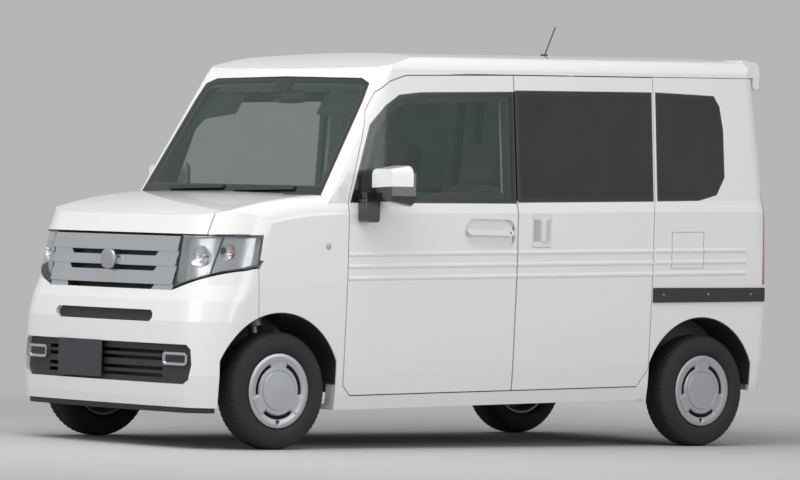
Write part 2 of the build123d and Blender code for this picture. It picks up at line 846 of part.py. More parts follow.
with BuildPart() as tail_lamps:
    lamp = tail_lamp_space & (body_outer - lower_lamp_back)
    for one in both_sides(lamp - (tail_lamp_space - rear_cut(tail_lamp_outline, -1.5, tail_lamp_y + 1.5))):
        add(one)
write(tail_lamps.part, "tail_lamps")

# Doors
lower_step = hull(lower_levels[:8], front_bow, 14.0)
body_step = lower_step + hull(cabin_levels, screen_bow, 14.0)
body_slide = hull(lower_levels[:8], front_bow, frame_inset - seat_gap) + hull(
    cabin_levels, screen_bow, frame_inset - seat_gap
)


def side_door(outline, inner, window):
    """Left door slab with its window rebate and opening cut."""
    door = side_panel(outline, inner)
    door = door - (side_cut(window, seat_gap) - cabin_rebate)
    return door - side_cut(window, -pane_lap)


front_door = side_door(front_door_outline, lower_door + cabin_door_flat, front_window)
rear_edge = block(300, 900, pillar_gap_y - 20, pillar_gap_y, 100, 1800) & body_step
front_door = front_door - rear_edge
handle_y = (-188.0, 76.0)
handle_z = 984.0
handle_recess = (-52.0, 978.0, 150.0, 66.0)
with BuildPart() as handle_dish:
    with BuildSketch(Plane.YZ.offset(half_width - 16)):
        with Locations((handle_recess[0], handle_recess[1])):
            RectangleRounded(2 * handle_recess[2], 2 * handle_recess[3], 52)
    extrude(amount=40)
with BuildPart() as handle_bar:
    with BuildSketch(Plane.YZ.offset(half_width)):
        with Locations(((handle_y[0] + handle_y[1]) / 2, handle_z)):
            SlotOverall(handle_y[1] - handle_y[0], 26)
    extrude(amount=16)
    for foot_y in (handle_y[0] + 18, handle_y[1] - 18):
        with BuildSketch(Plane.YZ.offset(half_width - 18)):
            with Locations((foot_y, handle_z)):
                Circle(12)
        extrude(amount=22)
front_door = (front_door - handle_dish.part) + handle_bar.part
slide_door = side_door(slide_outline, body_slide, slide_window)
slide_door = slide_door - side_cut(
    [(947.0, 672.0), (1000.0, 672.0), (1000.0, 745.0), (947.0, 745.0)], 0
)


def pane(window):
    """Left window pane, seated in its rebate."""
    return (cabin_glass_out - cabin_glass_in) & side_cut(window)


for side_name, turn in (("left", False), ("right", True)):
    door_solid = front_door.mirror(Plane.YZ) if turn else front_door
    glass_solid = pane(front_window)
    glass_solid = glass_solid.mirror(Plane.YZ) if turn else glass_solid
    write(door_solid, f"front_door_{side_name}")
    write(glass_solid, f"front_door_glass_{side_name}")
with BuildPart() as sliding_doors:
    for door in both_sides(slide_door):
        add(door)
write(sliding_doors.part, "sliding_doors")
with BuildPart() as rear_side_glass:
    for glass in both_sides(pane(slide_window)) + both_sides(pane(quarter_window)):
        add(glass)
write(rear_side_glass.part, "rear_side_glass")
with BuildPart() as windscreen:
    add((cabin_glass_out - cabin_glass_in) & front_cut(screen_outline, 0, 500, 1200))
write(windscreen.part, "windscreen")

# Slide rails along the quarter panels
rail_proud = 5.0
rail_outline = [(948.0, 674.0), (1650.0, 687.0), (1650.0, 752.0), (948.0, 743.0)]
with BuildPart() as slide_rails:
    strip = side_cut(rail_outline, 0, 600, half_width + rail_proud) - body_outer
    for rail in both_sides(strip):
        add(rail)
write(slide_rails.part, "slide_rails")

# Door mirrors
mirror_box = (748.0, 932.0, -775.0, -655.0, 1092.0, 1276.0)


def door_mirror():
    """Left mirror housing on its arm, with a black pod below."""
    x0, x1, y0, y1, z0, z1 = mirror_box
    with BuildPart() as mirror:
        with BuildSketch(Plane.XZ.offset(-y1)):
            with Locations(((x0 + x1) / 2, (z0 + z1) / 2)):
                RectangleRounded(x1 - x0, z1 - z0, 46)
        extrude(amount=y1 - y0, taper=9)
        with BuildSketch(Plane.YZ.offset(700)):
            with Locations((-790, 1128)):
                Rectangle(60, 46)
        extrude(amount=90)
        with BuildSketch(Plane.YZ.offset(742)):
            with Locations((-790, 1072)):
                RectangleRounded(76, 110, 18)
        extrude(amount=60)
    return mirror.part - body_outer


mirror_left = door_mirror()
mirror_left = mirror_left.solids().sort_by(Axis.X)[-1]
write(Part() + mirror_left, "mirror_left")
write(Part() + mirror_left.mirror(Plane.YZ), "mirror_right")

# Tailgate with its spoiler and glass
spoiler_root_z = 1747.0
spoiler_profile = [
    (gate_hinge_y, spoiler_root_z),
    (gate_hinge_y, 1829.0),
    (1665.0, 1822.0),
    (1690.0, 1806.0),
    (tail_y, 1780.0),
    (tail_y - 2, 1706.0),
    (1676.0, 1690.0),
    (1656.0, 1700.0),
    (1656.0, spoiler_root_z),
]
spoiler_half = 612.0
spoiler_root_half = 556.0
handle_pocket = (210.0, 1004.0, 1046.0)
plate_hole_x = 105.0
plate_hole_z = 930.0
plate_hole_radius = 3.0
gate_slab = hull(lower_levels[:8], front_bow, tail_wall) + hull(cabin_levels, screen_bow, tail_wall)
gate_space = rear_cut(gate_outline, 0, 1560)
glass_space = rear_cut(gate_window, seat_gap, 1560)
with BuildPart() as tailgate:
    add((body_outer - gate_slab) & gate_space & block(-900, 900, 1580, 1800, 300, 1762))
    with BuildSketch(Plane.YZ.offset(-spoiler_half)):
        with BuildLine():
            Polyline(*spoiler_profile, close=True)
        make_face()
    extrude(amount=2 * spoiler_half)
    add(block(-spoiler_root_half, spoiler_root_half, 1600, 1662, 1690, spoiler_root_z + 10))
    add(glass_space - cabin_rebate, mode=Mode.SUBTRACT)
    add(rear_cut(gate_window, -pane_lap, 1500), mode=Mode.SUBTRACT)
    pocket_half, pocket_low, pocket_high = handle_pocket
    add(block(-pocket_half, pocket_half, tail_y - 20, 1800, pocket_low, pocket_high), mode=Mode.SUBTRACT)
    with BuildSketch(Plane.XZ.offset(-1800)):
        for x in (-plate_hole_x, plate_hole_x):
            with Locations((x, plate_hole_z)):
                Circle(plate_hole_radius)
    extrude(amount=200, mode=Mode.SUBTRACT)
write(tailgate.part, "tailgate")
with BuildPart() as tailgate_glass:
    add((cabin_glass_out - cabin_glass_in) & rear_cut(gate_window, 0, 1560))
write(tailgate_glass.part, "tailgate_glass")

# Floor pan with the rear wheel houses
floor_z = 305.0
floor_thickness = 25.0
house_wall = 10.0
house_inner_x = 530.0
with BuildPart() as floor_slab:
    with BuildSketch(level(floor_z)):
        Rectangle(1700, 4000)
    extrude(amount=floor_thickness)
with BuildPart() as below_floor_volume:
    with BuildSketch(level(floor_z - seat_gap)):
        Rectangle(1700, 4000)
    extrude(amount=-400)
below_floor = below_floor_volume.part
with BuildPart() as above_floor_volume:
    with BuildSketch(level(floor_z + floor_thickness + seat_gap)):
        Rectangle(1700, 4000)
    extrude(amount=1400)
above_floor = above_floor_volume.part
with BuildPart() as floor_pan:
    add(floor_slab.part & body_inner & block(-900, 900, firewall_y, tail_y - wall_thickness, 200, 500))
    house = arch_cut(
        rear_arch_y,
        arch_radius + house_wall,
        arch_reach_front + house_wall,
        house_inner_x - house_wall,
        900,
    )
    house = (house - block(300, 900, 800, 1700, 0, 325)) & body_inner
    for wheel_house in both_sides(house):
        add(wheel_house)
    for arch in both_sides(rear_arch) + both_sides(front_arch):
        add(arch, mode=Mode.SUBTRACT)
write(floor_pan.part, "floor_pan")

# Wheel arch liners
liner_wall = 4.0


def arch_liner(arch_y, inner_x, outer_hull):
    """Thin liner just inside one left wheel arch."""
    outer = arch_cut(arch_y, arch_radius - seat_gap, arch_reach_front - seat_gap, inner_x, 900)
    inner = arch_cut(
        arch_y,
        arch_radius - seat_gap - liner_wall,
        arch_reach_front - seat_gap - liner_wall,
        inner_x - 10,
        950,
    )
    return ((outer - inner) & outer_hull) - block(300, 900, -1800, 1800, 0, 292)


with BuildPart() as arch_liners:
    strut_hole = block(420, 600, front_axle_y - 95, front_axle_y + 95, 500, 700)
    for liner in both_sides(arch_liner(front_arch_y, 430.0, tray_outer) - strut_hole):
        add(liner)
    for liner in both_sides(arch_liner(rear_arch_y, house_inner_x + seat_gap, tray_outer)):
        add(liner)
write(arch_liners.part, "arch_liners")

def side_block(side, x0, x1, *rest):
    """Block on one side, given by its distances from the middle plane."""
    return block(min(side * x0, side * x1), max(side * x0, side * x1), *rest)


# Front frame: side members, crossmembers, strut towers and lower arms
rail_x0, rail_x1 = 330.0, 395.0
rail_bottom, rail_top = 330.0, 400.0
rail_front_y = -1572.0
strut_top_x, strut_top_z = 505.0, 690.0
ball_x, ball_z = 612.0, 182.0
pin_radius = 10.0
with BuildPart() as front_frame:
    firewall_front = firewall_y - firewall_thickness
    for side in (-1, 1):
        member_x = side * (rail_x0 + rail_x1) / 2
        add(block(member_x - 32, member_x + 32, rail_front_y, firewall_front, rail_bottom, rail_top))
        add(block(member_x - 32, member_x + 32, -1330, -1130, 215, rail_bottom))
        add(side_block(side, 385, 412, -1300, -1165, 380, strut_top_z + 12))
        add(side_block(side, 385, 556, -1290, -1175, strut_top_z, strut_top_z + 12))
        add(side_block(side, 390, 632, -1258, -1207, ball_z - 26, ball_z - 8))
        add(side_block(side, 380, 420, -1300, -1165, ball_z - 26, 240))
    add(block(-395, 395, -1330, -1130, 215, 255))
    add(block(-425, 425, rail_front_y, rail_front_y + 30, 330, 400))
    add(block(-330, 330, rail_front_y + 2, rail_front_y + 34, 400, 900))
    add(block(-455, 455, rail_front_y, rail_front_y + 30, 890, 915))
    add(block(-430, 430, -1640, rail_front_y + 10, 480, 535))
    for side in (-1, 1):
        with Locations((side * strut_top_x, front_axle_y, strut_top_z + 6)):
            Cylinder(pin_radius + 3, 40, mode=Mode.SUBTRACT)
write(front_frame.part, "front_frame")

with BuildPart() as engine:
    with BuildSketch(Plane.XY.offset(255 + seat_gap)):
        with Locations((0, -1290)):
            RectangleRounded(600, 430, 30)
    extrude(amount=560)
write(engine.part, "engine")

# Knuckles with struts, turning about the line from ball joint to strut top
spindle_radius = 20.0
spindle_end_x = 716.0
stud_radius = 9.0
kingpin_lean = 11.894


def knuckle(side):
    """One steering knuckle with its strut."""
    def across(z):
        return side * (ball_x + (strut_top_x - ball_x) * (z - ball_z) / (strut_top_z - ball_z))

    base = Plane(
        origin=(side * 552.0, front_axle_y, 318.0),
        z_dir=(side * (strut_top_x - 552.0), 0, strut_top_z - 60 - 318.0),
    )
    with BuildPart() as upright:
        with BuildSketch(Plane.YZ.offset(side * 574.0)):
            with Locations((front_axle_y, hub_z)):
                Circle(62)
        extrude(amount=side * 26)
        with BuildSketch(Plane.YZ.offset(side * 596.0)):
            with Locations((front_axle_y, hub_z)):
                Circle(spindle_radius)
        extrude(amount=side * (spindle_end_x - 596.0 - 26))
        add(side_block(side, 590, 630, front_axle_y - 20, front_axle_y + 20, ball_z + 8, hub_z - 40))
        stud_z = ball_z - 8 + seat_gap + stud_radius * sin(radians(kingpin_lean))
        stud_foot = Plane(
            origin=(across(stud_z), front_axle_y, stud_z),
            z_dir=(side * (strut_top_x - ball_x), 0, strut_top_z - ball_z),
        )
        with BuildSketch(stud_foot):
            Circle(stud_radius)
        extrude(amount=24)
        add(side_block(side, 540, 590, front_axle_y - 22, front_axle_y + 22, hub_z + 20, hub_z + 110))
        with BuildSketch(base):
            Circle(22)
        extrude(amount=330)
        with BuildSketch(base.offset(225)):
            Circle(50)
        extrude(amount=95)
        top = Plane(
            origin=(across(strut_top_z - 62), front_axle_y, strut_top_z - 62),
            z_dir=(side * (strut_top_x - ball_x), 0, strut_top_z - ball_z),
        )
        with BuildSketch(top):
            Circle(pin_radius)
        extrude(amount=72)
    return upright.part


for side_name, side in (("left", 1), ("right", -1)):
    solid = knuckle(side)
    write(solid, f"knuckle_{side_name}")

# Rear axle: trailing arms, cross beam, coil seats and spindles
beam_y = 1085.0
with BuildPart() as rear_axle:
    with BuildSketch(Plane.YZ.offset(-520)):
        with Locations((beam_y, 236)):
            Circle(28)
    extrude(amount=1040)
    for side in (-1, 1):
        add(side_block(side, 500, 548, 1000, rear_axle_y + 40, 222, 276))
        with BuildSketch(Plane.YZ.offset(side * 530.0)):
            with Locations((rear_axle_y, hub_z)):
                Circle(58)
        extrude(amount=side * 60)
        with BuildSketch(Plane.YZ.offset(side * 585.0)):
            with Locations((rear_axle_y, hub_z)):
                Circle(spindle_radius)
        extrude(amount=side * (spindle_end_x - 585.0 - 26))
        add(side_block(side, 480, 515, 985, 1040, 222, 420) & below_floor)
        with BuildSketch(Plane.XY.offset(250)):
            with Locations((side * 470, 1215)):
                Circle(46)
        extrude(amount=40)
        add(side_block(side, 430, 510, 1180, 1250, 236, 262))
    for side in (-1, 1):
        with BuildPart(mode=Mode.PRIVATE) as coil:
            with BuildSketch(Plane.XY.offset(262)):
                with Locations((side * 470, 1215)):
                    Circle(46)
            extrude(amount=200)
        add(coil.part & below_floor)
write(rear_axle.part, "rear_axle")

with BuildPart() as fuel_tank:
    add(block(-360, 430, -330, 330, 222, 400) & below_floor)
write(fuel_tank.part, "fuel_tank")

pipe_z = 264.0
pipe_x = 400.0
pipe_start_y = -900.0
pipe_frame = Plane(
    origin=(0, pipe_start_y, pipe_z),
    x_dir=(-1, 0, 0),
    z_dir=(0, cos(radians(rise_angle)), sin(radians(rise_angle))),
)
with BuildPart() as exhaust:
    with BuildSketch(pipe_frame):
        with Locations((pipe_x, 0)):
            Circle(17)
    extrude(amount=2230)
    with BuildSketch(Plane.YZ.offset(-482)):
        with Locations((1420, 285)):
            RectangleRounded(210, 92, 40)
    extrude(amount=460)
    for y in (-860, 640, 1500):
        x = -pipe_x if y < 1000 else -300
        add(block(x - 12, x + 12, y - 12, y + 12, 272 + (y > 0) * 28, 400) & below_floor)
write(exhaust.part, "exhaust")

# Wheels and tyres
bead_radius = 152.4


def wheel_plane(side, y):
    """Plane through one wheel's axis, outward side positive."""
    return Plane(
        origin=(side * wheel_x, y, hub_z),
        x_dir=(side, 0, 0),
        z_dir=(0, -side, 0),
    )


def wheel_axis(y):
    """Axis of one wheel."""
    return Axis((0, y, hub_z), (1, 0, 0))


def tyre(side, y):
    """Tyre ring with rounded shoulders."""
    half = tyre_width / 2
    with BuildPart() as ring:
        with BuildSketch(wheel_plane(side, y)):
            with BuildLine():
                Line((-54, bead_radius + 0.2), (54, bead_radius + 0.2))
                Line((54, bead_radius + 0.2), (54, 170))
                ThreePointArc((54, 170), (half, 207), (half - 9, 243))
                ThreePointArc((half - 9, 243), (half - 17, 255), (half - 29, tyre_radius - 1.5))
                ThreePointArc((half - 29, tyre_radius - 1.5), (0, tyre_radius), (29 - half, tyre_radius - 1.5))
                ThreePointArc((29 - half, tyre_radius - 1.5), (17 - half, 255), (9 - half, 243))
                ThreePointArc((9 - half, 243), (-half, 207), (-54, 170))
                Line((-54, 170), (-54, bead_radius + 0.2))
            make_face()
        revolve(axis=wheel_axis(y))
    return ring.part


cap_slot_radius = 118.0
cap_slot_width = 19.0
cap_slot_half_angle = 36.0
cap_slot_arc = CenterArc(
    (0, 0), cap_slot_radius, -cap_slot_half_angle, 2 * cap_slot_half_angle, mode=Mode.PRIVATE
)


def wheel_body(side, y):
    """Rim, disc, hub and cap in one."""
    with BuildPart() as body:
        with BuildSketch(wheel_plane(side, y)):
            with BuildLine():
                Polyline(
                    (-60, 166),
                    (-54.3, 166),
                    (-54.3, bead_radius - 0.1),
                    (54.3, bead_radius - 0.1),
                    (54.3, 164),
                    (60, cap_radius + 4),
                    (63, cap_radius - 4),
                    (58, 128),
                    (60, 90),
                    (62, 0),
                    (46, 0),
                    (46, spindle_radius + spindle_play),
                    (8, spindle_radius + spindle_play),
                    (8, 60),
                    (30, 66),
                    (36, 132),
                    (-54, 142),
                    (-60, 156),
                    close=True,
                )
            make_face()
        revolve(axis=wheel_axis(y))
        with BuildSketch(Plane.YZ.offset(side * (wheel_x + 20))):
            with Locations((y, hub_z)):
                with PolarLocations(0, 3, start_angle=30):
                    SlotArc(cap_slot_arc, cap_slot_width)
        extrude(amount=side * 60, mode=Mode.SUBTRACT)
    return body.part


for name, side, y in (
    ("front_left", 1, front_axle_y),
    ("front_right", -1, front_axle_y),
    ("rear_left", 1, rear_axle_y),
    ("rear_right", -1, rear_axle_y),
):
    write(tyre(side, y), f"tyre_{name}")
    write(wheel_body(side, y), f"wheel_{name}")

# Dashboard, steering wheel and column
driver_x = -335.0
wheel_tilt = 28.0
steering_y, steering_z = -560.0, 985.0
steering_radius = 182.0
steering_plane = Plane(
    origin=(driver_x, steering_y, steering_z),
    x_dir=(1, 0, 0),
    z_dir=(0, cos(radians(wheel_tilt)), sin(radians(wheel_tilt))),
)
with BuildPart() as dashboard:
    with BuildSketch(Plane.YZ.offset(-640)):
        with BuildLine():
            Polyline(
                (firewall_y + seat_gap, 640),
                (firewall_y + seat_gap, 1104),
                (-905, 1118),
                (-760, 1102),
                (-700, 1060),
                (-690, 960),
                (-740, 880),
                (-790, 700),
                close=True,
            )
        make_face()
    extrude(amount=1280)
    with BuildSketch(Plane.YZ.offset(driver_x - 130)):
        with BuildLine():
            Polyline((-840, 1090), (-800, 1160), (-700, 1150), (-690, 1040), close=True)
        make_face()
    extrude(amount=260)
    with BuildSketch(steering_plane.offset(-22)):
        Circle(26)
    extrude(amount=-200)
    add(cabin_inner + lower_inner, mode=Mode.INTERSECT)
write(dashboard.part, "dashboard")

with BuildPart() as steering_wheel:
    with BuildSketch(Plane.YZ.offset(driver_x)):
        with Locations(
            (
                steering_y - steering_radius * sin(radians(wheel_tilt)),
                steering_z + steering_radius * cos(radians(wheel_tilt)),
            )
        ):
            Circle(14)
    revolve(axis=Axis(steering_plane.origin, steering_plane.z_dir))
    with BuildSketch(steering_plane.offset(-20)):
        Circle(70)
        Rectangle(2 * steering_radius - 10, 42)
        with Locations((0, -steering_radius / 2)):
            Rectangle(44, steering_radius - 10)
    extrude(amount=26)
    with BuildSketch(steering_plane.offset(-20)):
        Circle(18)
    extrude(amount=-1.7)
write(steering_wheel.part, "steering_wheel")

# Seats on their risers
with BuildPart() as seat_risers:
    for x in (-335.0, 335.0):
        add(block(x - 215, x + 215, -420, 40, 300, 600) & above_floor)
    add(block(-500, 500, 760, 1010, 320, 560) & above_floor)
write(seat_risers.part, "seat_risers")


def cushion(x0, x1, y0, y1, z0, z1, edge):
    """Plain cushion with rounded edges."""
    with BuildPart() as pad:
        add(block(x0, x1, y0, y1, z0, z1))
        fillet(pad.edges(), edge)
    return pad.part


def leaning(x, y, z, lean):
    """Plane at a point, its normal leaning back from upright by an angle."""
    return Plane(origin=(x, y, z), x_dir=(1, 0, 0), z_dir=(0, sin(radians(lean)), cos(radians(lean))))


def seat_back(x, half, y, z0, z1, thick, lean):
    """Leaning seat back with rounded edges."""
    with BuildPart() as back:
        with BuildSketch(leaning(x, y, z0, lean)):
            Rectangle(2 * half, thick)
        extrude(amount=z1 - z0)
        fillet(back.edges(), 28)
    return back.part


def headrest_posts(x, y, z, lean):
    """Two posts that carry a headrest."""
    with BuildPart() as posts:
        with BuildSketch(leaning(x, y, z, lean)):
            with Locations((-50, 0), (50, 0)):
                Circle(6)
        extrude(amount=64)
    return posts.part


with BuildPart() as front_seat_cushions:
    for x in (-335.0, 335.0):
        add(cushion(x - 245, x + 245, -455, 40, 600 + seat_gap, 720, 34))
write(front_seat_cushions.part, "front_seat_cushions")
with BuildPart() as front_seat_backs:
    for x in (-335.0, 335.0):
        add(seat_back(x, 235, 85.2, 640, 1200, 105, 14))
        add(seat_back(x, 125, 228, 1205, 1390, 90, 14))
        add(headrest_posts(x, 218, 1170, 14))
write(front_seat_backs.part, "front_seat_backs")
with BuildPart() as rear_seat:
    add(cushion(-520, 520, 700, 1110, 560 + seat_gap, 650, 34))
write(rear_seat.part, "rear_seat")
with BuildPart() as rear_seat_backs:
    for x in (-262.0, 262.0):
        add(seat_back(x, 255, 1147.3, 600, 1130, 90, 12))
        add(seat_back(x, 110, 1268, 1140, 1300, 70, 12))
        add(headrest_posts(x, 1260, 1105, 12))
write(rear_seat_backs.part, "rear_seat_backs")

# Small outside pieces
antenna_base = (0.0, 868.0)
with BuildPart() as antenna:
    antenna_z = line_z(antenna_base[1], roof_z)
    with BuildSketch(Plane(origin=(0, antenna_base[1], antenna_z - 1), z_dir=(0, 0.42, 0.91))):
        Circle(3)
    extrude(amount=156)
    with BuildSketch(Plane.XY.offset(antenna_z - 4)):
        with Locations((0, antenna_base[1])):
            Circle(20)
    extrude(amount=14, taper=20)
antenna_solid = antenna.part - roof_outer
write(Part() + antenna_solid.solids().sort_by(SortBy.VOLUME)[-1], "antenna")

with BuildPart() as cowl:
    add(block(-590, 590, firewall_front - 14, firewall_front - seat_gap, 1040, 1100) - cabin_outer)
write(Part() + cowl.part.solids().sort_by(SortBy.VOLUME)[-1], "cowl")

with BuildPart() as number_plate:
    with BuildSketch(Plane.XZ.offset(1691)):
        with Locations((-150, 379)):
            RectangleRounded(330, 165, 8)
    extrude(amount=5)
    with BuildSketch(Plane.XZ.offset(1640)):
        with Locations((-150, 379)):
            Rectangle(240, 60)
    extrude(amount=51)
    add(front_bumper.part, mode=Mode.SUBTRACT)
    add(intake_grilles.part, mode=Mode.SUBTRACT)
write(number_plate.part, "number_plate")

# Wipers resting just above the base of the windscreen
wiper_rows = [(-450.0, -40.0), (45.0, 475.0)]
wiper_z = 1146.0
wiper_layer = hull(cabin_levels, screen_bow, -11.0) - hull(cabin_levels, screen_bow, -0.2)
with BuildPart() as wipers:
    for wiper_start, wiper_end in wiper_rows:
        blade = [
            (wiper_start, wiper_z),
            (wiper_end, wiper_z + 10),
            (wiper_end, wiper_z + 24),
            (wiper_start, wiper_z + 14),
        ]
        add(wiper_layer & front_cut(blade, 0, 900, 1150))
write(wipers.part, "wipers")

# Rubber seals that the doors, gate and hood close on
seal_outer = hull(lower_levels[:8], front_bow, door_thickness + seat_gap) + hull(
    cabin_levels, screen_bow, door_thickness + seat_gap
)
seal_back = hull(lower_levels[:8], front_bow, frame_inset - 0.1) + hull(
    cabin_levels, screen_bow, frame_inset - 0.1
)
seal_layer = seal_outer - seal_back
with BuildPart() as seals:
    ring = side_cut(front_door_outline, -13.0) - side_cut(front_door_outline, -25.0)
    for seal in both_sides(seal_layer & ring):
        add(seal)
    gate_ring = rear_cut(gate_outline, -13.0, 1560) - rear_cut(gate_outline, -25.0, 1500)
    add(seal_layer & gate_ring)
    stop_top = nose_cap(skin_thickness + seat_gap)
    for x in (-300, 300):
        with BuildPart(mode=Mode.PRIVATE) as stop:
            with BuildSketch(Plane.XY.offset(915)):
                with Locations((x, rail_front_y + 15)):
                    Circle(11)
            extrude(amount=200)
        add(stop.part & stop_top)
write(seals.part, "seals")
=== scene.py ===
import json
import math

import bpy
import numpy as np
from mathutils import Matrix, Vector


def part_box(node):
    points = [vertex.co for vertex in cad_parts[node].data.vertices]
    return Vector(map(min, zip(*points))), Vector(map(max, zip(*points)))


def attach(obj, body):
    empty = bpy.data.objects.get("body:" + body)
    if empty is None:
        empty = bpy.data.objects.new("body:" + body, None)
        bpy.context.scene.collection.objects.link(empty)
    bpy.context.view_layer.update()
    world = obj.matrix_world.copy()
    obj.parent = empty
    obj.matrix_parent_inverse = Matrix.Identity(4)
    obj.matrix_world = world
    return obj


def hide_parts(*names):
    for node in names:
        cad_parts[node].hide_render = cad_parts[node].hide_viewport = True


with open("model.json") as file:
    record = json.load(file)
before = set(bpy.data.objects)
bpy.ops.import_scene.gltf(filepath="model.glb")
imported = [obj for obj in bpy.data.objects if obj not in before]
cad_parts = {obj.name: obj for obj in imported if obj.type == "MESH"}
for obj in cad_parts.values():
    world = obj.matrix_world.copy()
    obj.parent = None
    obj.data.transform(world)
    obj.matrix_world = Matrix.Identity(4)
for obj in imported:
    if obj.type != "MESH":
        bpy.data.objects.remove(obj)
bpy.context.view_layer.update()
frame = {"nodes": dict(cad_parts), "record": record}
nodes = frame["nodes"]


# Shader sums
class Wire:
    """A socket of a material's node tree that takes part in Python sums."""

    def __init__(self, tree, socket):
        self.tree = tree
        self.socket = socket

    def make(self, kind, settings=None, inputs=None, out=0):
        """Adds a node: its settings first, then the values or links of its sockets."""
        node = self.tree.nodes.new(kind)
        for key, value in (settings or {}).items():
            if key == "stops":
                ramp = node.color_ramp.elements
                while len(ramp) < len(value):
                    ramp.new(0.5)
                for element, (place, colour) in zip(ramp, value):
                    element.position = place
                    element.color = (*colour, 1.0)
            else:
                setattr(node, key, value)
        for key, value in (inputs or {}).items():
            if isinstance(value, Wire):
                self.tree.links.new(value.socket, node.inputs[key])
            else:
                node.inputs[key].default_value = value
        return Wire(self.tree, node.outputs[out])

    def sum(self, operation, *others):
        return self.make("ShaderNodeMath", {"operation": operation}, dict(enumerate((self, *others))))

    def __add__(self, other):
        return self.sum("ADD", other)

    __radd__ = __add__

    def __mul__(self, other):
        return self.sum("MULTIPLY", other)

    __rmul__ = __mul__

    def __sub__(self, other):
        return self.sum("SUBTRACT", other)

    def __rsub__(self, other):
        return self.make("ShaderNodeMath", {"operation": "SUBTRACT"}, {0: other, 1: self})

    def __abs__(self):
        return self.sum("ABSOLUTE")

    def high(self, other):
        return self.sum("MAXIMUM", other)

    def sine(self):
        return self.sum("SINE")

    def over(self, edge, soft=0.001):
        """1 where the value is above an edge, with a soft step."""
        return self.make(
            "ShaderNodeMapRange",
            {"clamp": True},
            {"Value": self, 1: edge - soft, 2: edge + soft, 3: 0.0, 4: 1.0},
        )

    def under(self, edge, soft=0.001):
        return 1.0 - self.over(edge, soft)

    def between(self, start, end, soft=0.001):
        return self.over(start, soft) * self.under(end, soft)


class Finish:
    """One finish: a material, its Principled shader and the place it is read at."""

    def __init__(self, name, colour=(0.5, 0.5, 0.5), **constants):
        self.material = bpy.data.materials.new(name)
        self.material.use_nodes = True
        self.tree = self.material.node_tree
        self.shader = self.tree.nodes["Principled BSDF"]
        self.shader.inputs["Base Color"].default_value = (*colour, 1.0)
        for key, value in constants.items():
            self.shader.inputs[key.replace("_", " ")].default_value = value
        self.colour = colour
        self.root = Wire(self.tree, None)
        self.place = self.root.make("ShaderNodeTexCoord", out="Object")
        split = self.tree.nodes.new("ShaderNodeSeparateXYZ")
        self.tree.links.new(self.place.socket, split.inputs[0])
        self.x, self.y, self.z = (Wire(self.tree, split.outputs[i]) for i in range(3))

    def noise(self, scale, detail=2.0, rough=0.5, stretch=None):
        place = self.place
        if stretch:
            place = self.root.make("ShaderNodeMapping", None, {"Vector": place, "Scale": stretch})
        return self.root.make(
            "ShaderNodeTexNoise",
            None,
            {"Vector": place, "Scale": scale, "Detail": detail, "Roughness": rough},
        )

    def cells(self, scale):
        return self.root.make(
            "ShaderNodeTexVoronoi", {"feature": "F1"}, {"Vector": self.place, "Scale": scale}, "Distance"
        )

    def mix(self, mask, first, second):
        """Colour that goes from the first to the second where the mask is 1."""
        ends = {}
        for key, value in ((6, first), (7, second)):
            ends[key] = value if isinstance(value, Wire) else (*value, 1.0)
        return self.root.make("ShaderNodeMix", {"data_type": "RGBA"}, {0: mask, **ends}, 2)

    def set(self, socket, value):
        self.tree.links.new(value.socket, self.shader.inputs[socket])
        return self

    def bump(self, height, distance, strength=1.0):
        relief = self.root.make(
            "ShaderNodeBump", None, {"Height": height, "Distance": distance, "Strength": strength}
        )
        return self.set("Normal", relief)


# Finishes
def body_paint(name, black=None):
    """Pearl white: clear coat over fine flakes, a little road dust low down, black film where a mask says."""
    f = Finish(name, (0.80, 0.80, 0.775), Roughness=0.32, Coat_Weight=1.0, Coat_Roughness=0.03)
    flake = f.noise(900.0, 1.0)
    cloud = f.noise(1.3, 3.0)
    dust = f.z.under(0.42, 0.2) * (0.35 + 0.65 * f.noise(7.0, 4.0))
    tone = f.mix(flake * 0.06 + cloud * 0.05, (0.80, 0.795, 0.765), (0.70, 0.695, 0.675))
    tone = f.mix(dust * 0.22, tone, (0.46, 0.44, 0.40))
    rough = 0.28 + 0.08 * cloud + 0.22 * dust
    if black is not None:
        mask = black(f)
        tone = f.mix(mask, tone, (0.012, 0.012, 0.013))
        rough = rough * (1.0 - mask) + mask * (0.22 + 0.1 * cloud)
    f.set("Base Color", tone)
    f.set("Roughness", rough)
    return f.bump(flake, 0.00002, 0.15)


def moulded(name, colour, rough, grain=700.0, relief=0.00012, **constants):
    """Moulded plastic: fine cell grain, cloudy wear, paler where it is rubbed."""
    f = Finish(name, colour, Roughness=rough, **constants)
    pores = f.cells(grain)
    cloud = f.noise(9.0, 4.0)
    worn = tuple(min(1.0, c * 1.5 + 0.012) for c in colour)
    f.set("Base Color", f.mix(cloud * 0.45 + pores * 0.2, colour, worn))
    f.set("Roughness", rough - 0.08 + 0.16 * cloud)
    return f.bump(pores, relief, 0.6)


def brushed(
    name, colour, rough, metallic=1.0, scale=60.0, stretch=(1.0, 1.0, 14.0), relief=0.00003, **constants
):
    """Metal with drawn streaks and faint stains."""
    f = Finish(name, colour, Roughness=rough, Metallic=metallic, **constants)
    streak = f.noise(scale, 3.0, 0.6, stretch)
    stain = f.noise(6.0, 4.0)
    darker = tuple(c * 0.72 for c in colour)
    f.set("Base Color", f.mix(stain * 0.4 + streak * 0.25, colour, darker))
    f.set("Roughness", rough - 0.05 + 0.12 * streak + 0.06 * stain)
    return f.bump(streak, relief, 0.5)


